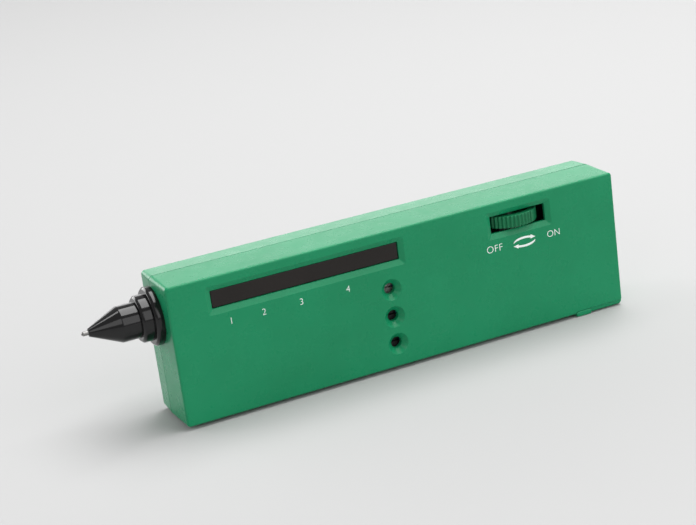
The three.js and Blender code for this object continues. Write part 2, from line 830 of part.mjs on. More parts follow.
function probePin() {
  const slugFront = slugBoreReach - closeFit;
  const slugBack = slugFront - slugLength;
  const dome = pinRadius * 2 / 3;
  return noseRound([
    [0, pinReach],
    [dome, pinReach - (pinRadius - dome)],
    [pinRadius, pinReach - dome],
    [pinRadius, slugFront],
    [slugRadius, slugFront],
    [slugRadius, slugBack],
    [rodRadius, slugBack],
    [rodRadius, slugBack - rodLength],
    [0, slugBack - rodLength],
  ], roundSides);
}

function probeBush() {
  return noseRound([
    [rodRadius + closeFit, bushReach],
    [boreRadius - closeFit, bushReach],
    [boreRadius - closeFit, bushReach - bushLength],
    [rodRadius + closeFit, bushReach - bushLength],
    [rodRadius + closeFit, bushReach],
  ], roundSides);
}

// A helical spring between the bush and the slug; prints its least gap between turns
function probeSpring() {
  const start = bushReach + springWireRadius + closeFit;
  const end = slugBoreReach - closeFit - slugLength - springWireRadius - closeFit;
  const coilRadius = slugRadius - springWireRadius;
  const points = [];
  const count = springTurns * springStepsPerTurn;
  for (let i = 0; i <= count; i += 1) {
    const angle = quarter * 4 * i / springStepsPerTurn;
    const reach = start + (end - start) * i / count;
    points.push([-reach, noseY + coilRadius * Math.cos(angle), noseZ + coilRadius * Math.sin(angle)]);
  }
  const section = new THREE.Shape();
  for (let i = 0; i < springSides; i += 1) {
    const angle = quarter * 4 * i / springSides;
    const spot = [springWireRadius * Math.cos(angle), springWireRadius * Math.sin(angle)];
    if (i === 0) section.moveTo(...spot);
    else section.lineTo(...spot);
  }
  section.closePath();
  const path = new THREE.CatmullRomCurve3(points.map((p) => new THREE.Vector3(...p)));
  const geometry = new THREE.ExtrudeGeometry(section, { steps: count, extrudePath: path });
  const gap = (end - start) / springTurns - springWireRadius * 2;
  console.log(`probe spring: ${gap.toFixed(2)} mm between turns`);
  return solid(geometry);
}

function probePlug() {
  const rear = -neckEnd;
  return noseRound([
    [plugHoleRadius, rear + plugLength],
    [boreRadius - closeFit, rear + plugLength],
    [boreRadius - closeFit, rear],
    [neckRadius - closeFit, rear],
    [neckRadius - closeFit, rear - plugRim],
    [plugHoleRadius, rear - plugRim],
    [plugHoleRadius, rear + plugLength],
  ], roundSides);
}

// One of the heater and sensor leads, from inside the plug to its pad on the main board
function probeLead(index) {
  const angle = quarter * (4 * index / 3 + 1);
  const startX = neckEnd - plugLength / 2;
  const y = noseY + probeLeadSpread * Math.cos(angle);
  const z = noseZ + probeLeadSpread * Math.sin(angle);
  const fan = [1, -1, 0][index];
  const padX = boardStart + probePadInset + (index === 2 ? probePadPitch : 0);
  const padZ = noseZ + fan * probePadPitch;
  const overY = boardBackY + probePadRise;
  return lead([
    [startX, y, z],
    [startX + plugLength, y, z],
    [(boardStart + padX) / 2, (y + overY) / 2, (z + padZ) / 2],
    [padX - probeLeadRadius * 2, overY, padZ],
    [padX, overY - probeLeadRadius * 2, padZ],
    [padX, boardBackY + solderGap, padZ],
  ], probeLeadRadius, leadSteps);
}

// Thumbwheel and switch pot
function thumbWheel() {
  const pitch = quarter * 4 / ribCount;
  const landCentre = (smoothLandDegrees / 90 - 1) * quarter;
  const outline = new THREE.Shape();
  const inner = wheelRadius - ribDepth;
  for (let i = 0; i < ribCount; i += 1) {
    const middle = landCentre + i * pitch;
    const fromLand = Math.min(i, ribCount - i);
    const valley = fromLand < smoothLandHalfRibs ? wheelRadius : inner;
    const spots = [
      [wheelRadius, middle - pitch * 0.22],
      [wheelRadius, middle + pitch * 0.22],
      [valley, middle + pitch * 0.36],
      [valley, middle + pitch * 0.64],
    ];
    spots.forEach(([radius, angle], k) => {
      const spot = [wheelX + radius * Math.cos(angle), wheelY + radius * Math.sin(angle)];
      if (i === 0 && k === 0) outline.moveTo(...spot);
      else outline.lineTo(...spot);
    });
  }
  outline.closePath();
  const geometry = new THREE.ExtrudeGeometry(outline, { depth: wheelThickness, bevelEnabled: false });
  geometry.translate(0, 0, wheelBottom);
  const dish = roundAlongZ(wheelX, wheelY, wheelTop - wheelDishDepth, wheelTop + overrun, wheelDishRadius);
  const hole = flatted(shaftRadius + closeFit, wheelBottom - overrun, wheelTop + overrun);
  return cut(solid(geometry), dish, hole);
}

function flatted(radius, z0, z1) {
  const outline = flattedRound(radius, shaftFlat_share);
  const geometry = new THREE.ExtrudeGeometry(outline, {
    depth: z1 - z0, bevelEnabled: false, curveSegments: smallSides,
  });
  geometry.translate(wheelX, wheelY, z0);
  return solid(geometry);
}

function potShaft() {
  const top = wheelTop - wheelDishDepth - shaftTopInset;
  const shaft = flatted(shaftRadius, potTop - shaftPotDepth, top);
  const hole = roundAlongZ(
    wheelX, wheelY, top - wheelScrewLength - closeFit, top + overrun, wheelScrewRadius + closeFit, smallSides,
  );
  return cut(shaft, hole);
}

function wheelScrew() {
  const seat = wheelTop - wheelDishDepth;
  const head = roundAlongZ(wheelX, wheelY, seat, seat + wheelScrewHeadHeight, wheelScrewHeadRadius);
  const shank = roundAlongZ(
    wheelX, wheelY, seat - wheelScrewLength, seat + wheelScrewHeadHeight / 2, wheelScrewRadius, smallSides,
  );
  const slot = block(
    wheelX - wheelScrewHeadRadius - overrun, wheelX + wheelScrewHeadRadius + overrun,
    wheelY - crossWidth / 2, wheelY + crossWidth / 2,
    seat + wheelScrewHeadHeight / 2, seat + wheelScrewHeadHeight + overrun,
  );
  return cut(join(head, shank), slot);
}

function potBody() {
  const can = roundAlongZ(wheelX, wheelY, potBoardTop, potTop, potRadius);
  const side = block(
    wheelX - potSideWidth / 2, wheelX + potSideWidth / 2, wheelY, wheelY + potSideDepth,
    potBoardTop, potBoardTop + potSideHeight,
  );
  const bore = roundAlongZ(
    wheelX, wheelY, potTop - shaftPotDepth - closeFit, potTop + overrun, shaftRadius + closeFit,
  );
  return cut(join(can, side), bore);
}

function potBoard() {
  return block(
    wheelX - potBoardMargin, wheelX + potBoardMargin, innerFrontY + closeFit, innerBackY - closeFit,
    shelfTop, potBoardTop,
  );
}

// One of the two leads between the switch pot's board and the main board
function switchLead(index) {
  const y = innerBackY - shelfDepth / 2 - index * leadRadius * 4;
  const startX = wheelX - potBoardMargin + clipWidth * 2;
  const runZ = potBoardTop + clipHeight / 2 + leadRadius / 2 + index * leadRadius * 4;
  const padX = boardEnd - leadRadius * 4 - index * leadRadius * 6;
  const padZ = runZ + postRadius + index * leadRadius * 2;
  return lead([
    [startX, y, potBoardTop + solderGap],
    [startX - leadRadius, y, potBoardTop + clipHeight / 2],
    [startX - leadRadius * 5, y, runZ],
    [partitionX, y - leadRadius, runZ],
    [(partitionX + boardEnd) / 2, y - leadRadius * 2, runZ],
    [boardEnd, y - leadRadius * 4, runZ],
    [padX, boardBackY + leadRadius * 3, padZ],
    [padX, boardBackY + solderGap, padZ],
  ]);
}

// Main board and what it carries
function lampX(index) {
  return (lampWindowStart + lampWindowEnd) / 2 + (index - (lampCount - 1) / 2) * lampPitch;
}

function roundPath(x, z, radius) {
  const path = new THREE.Path();
  path.absarc(x, z, radius, 0, quarter * 4, true);
  return path;
}

function mainBoard() {
  const outline = roundedOutline(boardStart, boardEnd, boardBottom, boardTop, boardCornerRadius);
  for (let i = 0; i < lampCount; i += 1) {
    [-1, 1].forEach((side) => {
      outline.holes.push(roundPath(lampX(i) + side * lampLegSpacing / 2, rowZ, lampLegSize));
    });
  }
  const screwHoles = screwPosts().map(([x, z]) => roundAlongY(
    x, z, boardFrontY - overrun, boardBackY + overrun, boardScrewRadius + closeFit, undefined, smallSides,
  ));
  return cut(slab(outline, boardFrontY, boardBackY, 3), ...screwHoles);
}

function lampHolder() {
  const half = holderHeight / 2;
  const outline = roundedOutline(
    lampX(0) - holderMargin, lampX(lampCount - 1) + holderMargin, rowZ - half, rowZ + half, boardCornerRadius,
  );
  for (let i = 0; i < lampCount; i += 1) {
    outline.holes.push(roundPath(lampX(i), rowZ, lampRimRadius + closeFit));
  }
  return slab(outline, innerFrontY + lensFlangeThickness + looseFit, boardFrontY, smallSides / 2);
}

function lamp(index) {
  const x = lampX(index);
  const dome = lampRadius * 0.7;
  const bulb = turnedAlongY([
    [0, 0],
    [lampRimRadius, 0],
    [lampRimRadius, lampRimHeight],
    [lampRadius, lampRimHeight],
    [lampRadius, lampHeight - lampRadius],
    [dome, lampHeight - lampRadius + dome],
    [0, lampHeight],
  ], x, boardFrontY, rowZ, -1, smallSides);
  const legs = [-1, 1].map((side) => {
    const middle = x + side * lampLegSpacing / 2;
    return block(
      middle - lampLegSize / 2, middle + lampLegSize / 2, boardFrontY - lampRimHeight / 2,
      boardBackY + lampLegTail, rowZ - lampLegSize / 2, rowZ + lampLegSize / 2,
    );
  });
  return join(bulb, ...legs);
}

function trimmerBody(index) {
  const z = trimmerZ(index);
  const half = trimmerSize / 2;
  const face = boardFrontY - trimmerDepth;
  const body = block(trimmerX - half, trimmerX + half, face, boardFrontY, z - half, z + half);
  return cut(body, roundAlongY(trimmerX, z, face - overrun, face + rotorSeat, rotorRadius + closeFit));
}

function trimmerRotor(index) {
  const z = trimmerZ(index);
  const face = boardFrontY - trimmerDepth;
  const disc = roundAlongY(trimmerX, z, face - rotorProud, face + rotorSeat - closeFit, rotorRadius);
  const slot = block(
    trimmerX - rotorRadius - overrun, trimmerX + rotorRadius + overrun,
    face - rotorProud - overrun, face - rotorProud + rotorSlotDepth,
    z - rotorSlotWidth / 2, z + rotorSlotWidth / 2,
  );
  return cut(disc, slot);
}

function boardScrew(x, z) {
  const headTop = boardBackY + boardScrewHeadHeight;
  const head = roundAlongY(x, z, boardBackY, headTop, boardScrewHeadRadius, undefined, smallSides);
  const shank = roundAlongY(
    x, z, boardBackY - boardScrewLength, boardBackY + boardScrewHeadHeight / 2, boardScrewRadius,
    undefined, smallSides,
  );
  const slot = block(
    x - boardScrewHeadRadius - overrun, x + boardScrewHeadRadius + overrun,
    boardBackY + boardScrewHeadHeight / 2, boardBackY + boardScrewHeadHeight + overrun,
    z - crossWidth / 2, z + crossWidth / 2,
  );
  return cut(join(head, shank), slot);
}

function chip() {
  const y0 = boardBackY + chipStandoff;
  const half = chipWidth / 2;
  const chipX = along(chipAlong_share);
  const chipZ = up(chipUp_share);
  const halfLength = chipLength / 2;
  const body = block(chipX - halfLength, chipX + halfLength, y0, y0 + chipHeight, chipZ - half, chipZ + half);
  const legs = [];
  for (let i = 0; i < chipLegs; i += 1) {
    const x = chipX + (i - (chipLegs - 1) / 2) * chipLegPitch;
    [-1, 1].forEach((side) => {
      const z = chipZ + side * half;
      legs.push(block(
        x - chipLegSize / 2, x + chipLegSize / 2, boardBackY, y0 + chipHeight / 2,
        z - chipLegSize / 2, z + chipLegSize / 2,
      ));
    });
  }
  const mark = roundAlongY(
    chipX - halfLength, chipZ, y0 + chipHeight - chipLegSize, y0 + chipHeight + overrun, half / 3,
    undefined, smallSides,
  );
  return cut(join(body, ...legs), mark);
}

function buzzer() {
  const buzzerHeight = roomBehindBoard - buzzerBackGap;
  return turnedAlongY([
    [0, 0],
    [buzzerRadius, 0],
    [buzzerRadius, buzzerHeight - edgeRadius / 2],
    [buzzerRadius - edgeRadius / 2, buzzerHeight],
    [buzzerHoleRadius, buzzerHeight],
    [buzzerHoleRadius, buzzerHeight - buzzerHoleDepth],
    [0, buzzerHeight - buzzerHoleDepth],
  ], along(buzzerAlong_share), boardBackY, up(buzzerUp_share), 1);
}

function capacitor(x, z, radius, height) {
  const groove = radius / 2;
  return turnedAlongY([
    [0, 0],
    [radius, 0],
    [radius, groove],
    [radius - capacitorGroove, groove + capacitorGroove],
    [radius, groove + capacitorGroove * 2],
    [radius, height - capacitorGroove],
    [radius - capacitorGroove, height],
    [0, height],
  ], x, boardBackY, z, 1, smallSides);
}

function regulator() {
  const regulatorX = along(regulatorAlong_share);
  const regulatorZ = up(regulatorUp_share);
  const outline = flattedRound(regulatorRadius, regulatorFlat_share);
  const geometry = new THREE.ExtrudeGeometry(outline, {
    depth: regulatorHeight, bevelEnabled: false, curveSegments: smallSides,
  });
  geometry.rotateX(-quarter);
  geometry.translate(regulatorX, boardBackY + regulatorStandoff, regulatorZ);
  const legs = [-1, 0, 1].map((step) => {
    const z = regulatorZ + step * chipLegPitch / 2;
    return block(
      regulatorX - chipLegSize / 2, regulatorX + chipLegSize / 2, boardBackY,
      boardBackY + regulatorStandoff + chipLegSize, z - chipLegSize / 2, z + chipLegSize / 2,
    );
  });
  return join(solid(geometry), ...legs);
}

function resistor(index) {
  const z = boardBottom + resistorRise + index * resistorPitch;
  const y = boardBackY + resistorHeight;
  const resistorX = along(resistorAlong_share);
  const halfBody = resistorLength / 2;
  const body = roundAlongX(y, z, resistorX - halfBody, resistorX + halfBody, resistorRadius, smallSides);
  const half = resistorLegSpan / 2;
  const wire = roundAlongX(y, z, resistorX - half, resistorX + half, resistorLegRadius, smallSides / 2);
  const feet = [-1, 1].map((side) => {
    const x = resistorX + side * half;
    return block(
      x - resistorLegRadius, x + resistorLegRadius, boardBackY, y + resistorLegRadius,
      z - resistorLegRadius, z + resistorLegRadius,
    );
  });
  return join(body, wire, ...feet);
}

// Battery and its snap
function battery() {
  const half = batteryDepth / 2;
  return roundedBlock(
    batteryStart, batteryEnd, -half, half, batteryBottom, batteryTop, batteryEdge, batteryEdge / 2, 2,
  );
}

function stud(side, radius, sides) {
  const z = batteryZ + side * studSpacing / 2;
  return roundAlongX(0, z, batteryStart - studHeight, batteryStart, radius, sides);
}

function batterySnap() {
  const face = batteryStart - studHeight - closeFit;
  const plate = roundedBlock(
    face - snapThickness, face, -snapWidth / 2, snapWidth / 2,
    batteryZ - snapHeight / 2, batteryZ + snapHeight / 2, boardCornerRadius, boardCornerRadius / 2, 2,
  );
  const cups = [[1, plusStudRadius], [-1, minusStudRadius]].map(([side, radius]) => {
    const z = batteryZ + side * studSpacing / 2;
    const cup = radius + looseFit;
    const outer = roundAlongX(0, z, face - closeFit, face + snapCupHeight, cup + snapCupWall, smallSides);
    return cut(outer, roundAlongX(0, z, face, face + snapCupHeight + overrun, cup, smallSides));
  });
  return join(plate, ...cups);
}

function batteryLead(index) {
  const z = partitionNotchTop - leadRadius * 3 - index * leadRadius * 5;
  const startX = batteryStart - studHeight - snapThickness - closeFit - solderGap;
  const runY = partingY + leadRadius * 2;
  const padX = boardEnd - leadRadius * 5 - index * leadRadius * 4;
  return lead([
    [startX, runY, z],
    [partitionX + partitionThickness / 2, runY + leadRadius, z - leadRadius],
    [partitionX - leadRadius * 8, runY + leadRadius * 2, z - leadRadius * 2],
    [boardEnd + leadRadius * 2, runY + leadRadius, z - leadRadius * 2],
    [padX, boardBackY + leadRadius * 4, z - leadRadius * 3],
    [padX, boardBackY + solderGap, z - leadRadius * 3],
  ]);
}

function caseScrew(x, z) {
  const head = turnedAlongY([
    [0, 0],
    [headRadius, 0],
    [headRadius, headHeight - headCrown],
    [headRadius - headCrown, headHeight],
    [0, headHeight],
  ], x, screwSeatY, z, 1, smallSides);
  const shank = roundAlongY(
    x, z, screwSeatY - screwLength, screwSeatY + headCrown, screwRadius, undefined, smallSides / 2,
  );
  const top = screwSeatY + headHeight;
  const cross = [[crossReach, crossWidth / 2], [crossWidth / 2, crossReach]].map(([halfX, halfZ]) => block(
    x - halfX, x + halfX, top - crossDepth, top + overrun, z - halfZ, z + halfZ,
  ));
  return cut(join(head, shank), ...cross);
}

// Assembly
const tester = new THREE.Group();
const tipToEnd = caseLength - pinReach;
tester.position.set(-tipToEnd / 2, wheelProud / 2, doorLipDrop);

function place(name, body, material) {
  const mesh = new THREE.Mesh(geometryOf(body), material);
  mesh.name = name;
  tester.add(mesh);
}

place('front_shell', frontShell(), green);
place('back_shell', backShell(), green);
place('battery_door', batteryDoor(), green);
place('door_pad', doorPad(), foam);
place('window_lens', windowLens(), smoke);
place('nose_cone', noseCone(), black);
place('probe_pin', probePin(), steel);
place('probe_bush', probeBush(), brass);
place('probe_spring', probeSpring(), steel);
place('probe_plug', probePlug(), darkPlastic);
['red', 'white', 'black'].forEach((colour, i) => {
  place(`probe_lead_${colour}`, probeLead(i), [redSleeve, tan, darkPlastic][i]);
});
place('thumb_wheel', thumbWheel(), green);
place('pot_shaft', potShaft(), brass);
place('wheel_screw', wheelScrew(), steel);
place('pot_body', potBody(), steel);
place('pot_board', potBoard(), boardGreen);
['red', 'black'].forEach((colour, i) => {
  place(`switch_lead_${colour}`, switchLead(i), [redSleeve, darkPlastic][i]);
});
place('main_board', mainBoard(), boardGreen);
place('lamp_holder', lampHolder(), darkPlastic);
for (let i = 0; i < lampCount; i += 1) {
  place(`lamp_${i + 1}`, lamp(i), i < lampCount / 2 ? greenLamp : redLamp);
}
for (let i = 0; i < trimmerCount; i += 1) {
  place(`trimmer_body_${i + 1}`, trimmerBody(i), bluePlastic);
  place(`trimmer_rotor_${i + 1}`, trimmerRotor(i), brass);
}
screwPosts().forEach(([x, z], i) => {
  place(`board_screw_${i + 1}`, boardScrew(x, z), steel);
});
place('chip', chip(), darkPlastic);
place('buzzer', buzzer(), darkPlastic);
place('capacitor_1', capacitor(
  along(bigCapacitorAlong_share), up(bigCapacitorUp_share),
  bigCapacitorRadius, roomBehindBoard - bigCapacitorBackGap,
), bluePlastic);
place('capacitor_2', capacitor(
  along(smallCapacitorAlong_share), up(smallCapacitorUp_share),
  smallCapacitorRadius, roomBehindBoard - smallCapacitorBackGap,
), bluePlastic);
place('regulator', regulator(), darkPlastic);
for (let i = 0; i < resistorCount; i += 1) {
  place(`resistor_${i + 1}`, resistor(i), tan);
}
place('battery', battery(), cellWrap);
place('battery_stud_plus', stud(1, plusStudRadius, smallSides), steel);
place('battery_stud_minus', stud(-1, minusStudRadius, smallSides / 2), steel);
place('battery_snap', batterySnap(), darkPlastic);
['red', 'black'].forEach((colour, i) => {
  place(`battery_lead_${colour}`, batteryLead(i), [redSleeve, darkPlastic][i]);
});
screwSpots().forEach(([x, z], i) => {
  place(`case_screw_${i + 1}`, caseScrew(x, z), steel);
});

export default tester;
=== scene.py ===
import math

import bmesh
import bpy
from mathutils import Matrix, Vector


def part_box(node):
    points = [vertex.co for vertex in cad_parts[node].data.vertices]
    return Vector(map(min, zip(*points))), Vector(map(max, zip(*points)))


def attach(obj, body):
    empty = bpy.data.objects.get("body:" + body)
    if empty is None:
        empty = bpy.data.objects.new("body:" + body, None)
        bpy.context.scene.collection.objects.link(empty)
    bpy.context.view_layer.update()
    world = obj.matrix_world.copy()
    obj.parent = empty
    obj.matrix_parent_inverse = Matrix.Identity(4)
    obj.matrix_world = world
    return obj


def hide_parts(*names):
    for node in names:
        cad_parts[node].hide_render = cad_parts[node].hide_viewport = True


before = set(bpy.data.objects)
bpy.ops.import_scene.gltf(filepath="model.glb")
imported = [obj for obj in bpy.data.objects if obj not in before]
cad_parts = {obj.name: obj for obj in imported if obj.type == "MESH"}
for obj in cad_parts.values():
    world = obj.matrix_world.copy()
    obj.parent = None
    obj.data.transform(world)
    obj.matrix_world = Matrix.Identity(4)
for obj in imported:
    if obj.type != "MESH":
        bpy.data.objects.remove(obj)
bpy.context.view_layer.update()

# Sizes are in millimetres in the case's own frame:
# X from its nose end, Y from mid depth and Z from its floor edge
MM = 0.001
OVERRUN = 1.0
SOFT_EDGE = 0.14

# Case and seam
CASE_LENGTH = 162.5
CASE_HEIGHT = 47.0
CASE_DEPTH = 24.6
FRONT_SHELL_DEPTH = 15.0
FRONT = -CASE_DEPTH / 2
BACK = CASE_DEPTH / 2
PARTING = FRONT + FRONT_SHELL_DEPTH
WALL = 2.0
CORNER = 1.2
EDGE = 0.7
DRAFT = 0.4
SKIN = 1.2
SEAM_HALF = 0.15
SEAM_STEP = 0.5
SEAM_PASS = 0.01
SEAM_OPEN_START = 147.0
SEAM_OPEN_LEAST = 0.02
SEAM_OPEN_MOST = 0.12
SEAM_OPEN_RISE = 0.2

# Windows
ROW_Z = CASE_HEIGHT - 7.8
LAMP_WINDOW = (14.5, 80.2)
WHEEL_WINDOW = (114.7, 135.7)
WINDOW_HALF = 3.0
WINDOW_CORNER = 0.25
WINDOW_CORNER_STEPS = 4
FLARE_DEPTH = 1.0
FLARE_WIDTH = 1.7
FLARE_OVERRUN = 1.9
FLARE_CORNER_SHARE = 0.3
RIM_ROUND = 0.03
THROAT_LEAST = 0.02

# Access holes of the trimmers
ACCESS_X = 75.7
ACCESS_Z = (26.9, 17.45, 8.0)
ACCESS_RADIUS = 1.9
ACCESS_REACH = WALL + 2.5
ACCESS_SEGMENTS = 72
SINK_RADIUS = 3.6
SINK_DEPTH = 1.7
SINK_OVERRUN = 0.5
SINK_LIP = 0.05
SINK_ROUND = 0.08

# Lens
LENS_FIT = 0.2
LENS_RECESS = 1.3
LENS_OVERLAP = 0.3
LENS_CORNER = 0.35
LENS_EDGE = 0.2
LENS_FLANGE_WIDTH = 1.7
LENS_FLANGE_THICKNESS = 1.2

# Battery door
DOOR_START = 143.9
DOOR_TOP = 28.8
DOOR_FIT = 0.2
DOOR_END_FIT = 0.1
STRIP_DROP = 0.8
STRIP_RISE = 0.8
STRIP_INSET = 0.35
GUIDE_Y = (-6, 6)
GUIDE_START = DOOR_START + 4
GUIDE_END_GAP = 1
GUIDE_HALF = 0.5
GUIDE_OVERLAP = 0.1
GUIDE_RISE = 0.9
SLOT_HALF = 0.7
LIP_LENGTH = 6
LIP_DEPTH = 2.6
LIP_DROP = 1.2
LIP_CORNER = 0.8
LIP_EDGE = 0.5
GRIPS = 5
GRIP_PITCH = 1.6
GRIP_HALF = 0.35
GRIP_DEPTH = 0.35
GRIP_RISE = 4.5
GRIP_ROUND = 0.3

# Nose and probe; an outline gives radius, reach from the case's end face and share of rounding
NOSE_Y = 2.4
NOSE_Z = CASE_HEIGHT - 12.5
NOSE_HOLE_RADIUS = 7.6
NOSE_HOLE_REACH = 2.1
NOSE_HOLE_SEGMENTS = 128
NOSE_REAR = -16.1
NOSE_ROUND = 0.3
NOSE_OUTLINE = (
    (0.95, 22.5, 0.3), (1.3, 22.5, 0.6), (5.9, 12.4, 0.9), (5.9, 6.6), (7.0, 6.6, 0.6),
    (7.7, 5.9, 0.8), (7.7, 2.9), (9.0, 2.9, 0.6), (9.7, 2.2, 0.8), (9.7, 0.1), (7.4, 0.1),
    (7.4, -NOSE_HOLE_REACH), (6.0, -NOSE_HOLE_REACH), (6.0, NOSE_REAR), (4.0, NOSE_REAR),
    (4.0, 10.4), (2.3, 10.4), (2.3, 17.4), (0.95, 17.4),
)
NOSE_SEGMENTS = 160
FLANGE_X = (2.1, 5.1)
FLANGE_Z = (20, 46)
PIN_OUTLINE = (
    (0, 24.8), (0.2, 24.78), (0.38, 24.7), (0.55, 24.54), (0.68, 24.32), (0.75, 24.05),
    (0.75, 17.3), (1.9, 17.3), (1.9, 12.0), (1.0, 12.0), (1.0, -10.4), (0, -10.4),
)
PIN_SEGMENTS = 48

# Thumbwheel; a rib's points give a share of the pitch and a share of the rib's height
WHEEL_CENTRE = (125.2, -3.8)
WHEEL_RADIUS = 10.0
WHEEL_HALF = 2.1
WHEEL_ROUND = 0.3
WHEEL_ROUND_STEP = 0.1
RIBS = 44
RIB_DEPTH = 0.45
RIB_POINTS = (
    (-0.28, 0.55), (-0.16, 0.92), (0, 1), (0.16, 0.92), (0.28, 0.55), (0.4, 0.08), (0.5, 0),
    (0.6, 0.08),
)
LAND_DEGREES = -52
LAND_HALF_RIBS = 1.5
DISH_OUTLINE = ((0, -0.7), (7.4, -0.7), (7.6, -0.5), (7.7, 0), (8.3, 1), (0, 1))
HUB_RADIUS = 2.1
HUB_FLAT_SHARE = 0.6
HUB_STEPS = 40

# Case screws
SCREWS = ((8.0, 9.0), (94.0, 41.5), (94.0, 7.0), (152.0, 39.5))
SCREW_DEPTH = 4.5
SCREW_SEAT = BACK - SCREW_DEPTH
SCREW_BORE_RADIUS = 3.0
SCREW_BORE_FLARE = 0.6
SCREW_BORE_SEGMENTS = 64
SCREW_HEAD = ((0, 0), (2.7, 0), (2.7, 1.35, 1), (2.2, 1.75, 1), (1.2, 1.9, 1), (0, 1.9))
SCREW_HEAD_ROUND = 0.3
SCREW_HEAD_SEGMENTS = 56
SCREW_WELL = ((0, 0.5), (0.3, 0.6), (1.0, 1.3), (1.25, 3), (0, 3))
SCREW_WELL_SEGMENTS = 24
SCREW_POINT = ((0, -13.0), (0.7, -12.7), (1.15, -11.7))
SCREW_NECK = ((1.2, -1.2), (1.2, 0.3), (0, 0.3))
SCREW_SHANK_SEGMENTS = 28
THREADS = 11
THREAD_START = -11.6
THREAD_PITCH = 0.9
THREAD_TURN = ((1.1, 0), (1.4, 0.35), (1.1, 0.7))
CROSS_ARM = 1.7
CROSS_HALF = 0.35
CROSS_FLOOR = 0.9
CROSS_TOP = 3

# Print on the front face
WORD_Z = CASE_HEIGHT - 15.8
OFF_X = 114.9
OFF_HEIGHT = 2.45
ON_X = 137.8
ON_HEIGHT = 2.3
NUMBER_PLACES = (19.8, 31.0, 44.0, 60.5)
NUMBER_Z = CASE_HEIGHT - 15.9
NUMBER_HEIGHT = 2.2
CAPITAL_SHARE = 0.7
PRINT_HALF = 0.012
PRINT_LIFT = 0.008
PRINT_THINNING = 0.045
PRINT_SPACING = 1.04
ARROW_X = 126.4
ARROW_Z = CASE_HEIGHT - 15.95
ARROW_HALF_WIDTH = 4.2
ARROW_RISE = 1.45
ARROW_THICKNESS = 0.72
ARROW_STEPS = 20
ARROW_START_DEGREES = 172
ARROW_SWEEP_DEGREES = 118
ARROW_TAIL_SHARE = 0.45
ARROW_TAPER = 3
ARROW_TIP_SHARES = (1.03, 0.55)
ARROW_OUTER_BARB = (0.12, 0.34)
ARROW_INNER_BARB = (-0.15, -0.36)
ARROW_LIFT = 0.02
ARROW_SINK = 0.004

# Meshes
WELD_DISTANCE = 1e-7
AXIS_RADIUS = 1e-6
CORNER_STEPS = 8
EDGE_STEPS = 6
SMALL_EDGE_STEPS = 3
SOFT_STEPS = 4
TURN_SEGMENTS = 96
SOFT_SIDE_SHARE = 0.45
FLAT_DEGREES = 0.2
SHARP_DEGREES = 32
NOSE_SHARP_DEGREES = 24
WHEEL_SHARP_DEGREES = 40

case_low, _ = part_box("front_shell")
origin = Vector((case_low.x, case_low.y + CASE_DEPTH / 2 * MM, case_low.z))


def spot(x, y, z):
    """A place in the case's own frame, in the row frame and in metres."""
    return origin + Vector((x, y, z)) * MM


# Mesh helpers
def add_object(name, data):
    made = bpy.data.objects.new(name, data)
    bpy.context.scene.collection.objects.link(made)
    return made


def weld(mesh, turn_outward):
    """Joins points that coincide and, if asked, turns every face of a closed mesh to point out."""
    work = bmesh.new()
    work.from_mesh(mesh)
    bmesh.ops.remove_doubles(work, verts=work.verts, dist=WELD_DISTANCE)
    if turn_outward:
        bmesh.ops.recalc_face_normals(work, faces=work.faces)
    work.to_mesh(mesh)
    work.free()


def mesh_object(name, points, faces):
    """A closed mesh from points in the case's own frame."""
    mesh = bpy.data.meshes.new(name)
    mesh.from_pydata([spot(*p) for p in points], [], faces)
    mesh.update()
    made = add_object(name, mesh)
    weld(mesh, True)
    return made


def loft(name, loops):
    """A closed solid through loops with one count of points, capped at both ends."""
    count = len(loops[0])
    points = [p for loop in loops for p in loop]
    faces = []
    for k in range(len(loops) - 1):
        low, high = k * count, (k + 1) * count
        for i in range(count):
            j = (i + 1) % count
            faces.append((low + i, low + j, high + j, high + i))
    faces.append(tuple(range(count)))
    faces.append(tuple(range((len(loops) - 1) * count, len(loops) * count)))
    return mesh_object(name, points, faces)


def rounded_rectangle(u0, u1, v0, v1, radius, steps=CORNER_STEPS):
    """The points of a rectangle with round corners, in order."""
    spots = []
    corners = ((u1 - radius, v0 + radius, -90), (u1 - radius, v1 - radius, 0),
               (u0 + radius, v1 - radius, 90), (u0 + radius, v0 + radius, 180))
    for cu, cv, start in corners:
        for i in range(steps + 1):
            angle = math.radians(start + 90 * i / steps)
            spots.append((cu + radius * math.cos(angle), cv + radius * math.sin(angle)))
    return spots


def rounded_block(name, x0, x1, y0, y1, z0, z1, corner, edge, steps=EDGE_STEPS,
                  back_edge=None, draft=(0, 0)):
    """A block with round corners seen from the front and round edges.

    The draft widens its front and back ends.
    """
    back_edge = edge if back_edge is None else back_edge
    turns = [math.radians(90 * i / steps) for i in range(steps + 1)]
    rows = [(y0, 0)]
    if edge:
        rows = [(y0 + edge * (1 - math.sin(a)), edge * (1 - math.cos(a))) for a in reversed(turns)]
    if back_edge:
        rows += [(y1 - back_edge * (1 - math.sin(a)), back_edge * (1 - math.cos(a))) for a in turns]
    else:
        rows.append((y1, 0))
    loops = []
    for y, inset in rows:
        along = (y - y0) / (y1 - y0)
        inset -= draft[0] * (1 - along) + draft[1] * along
        outline = rounded_rectangle(x0 + inset, x1 - inset, z0 + inset, z1 - inset, corner - inset)
        loops.append([(x, y, z) for x, z in outline])
    return loft(name, loops)


def block(name, x0, x1, y0, y1, z0, z1):
    """A plain block between two places on each axis."""
    outline = [(x0, z0), (x1, z0), (x1, z1), (x0, z1)]
    return loft(name, [[(x, y, z) for x, z in outline] for y in (y0, y1)])


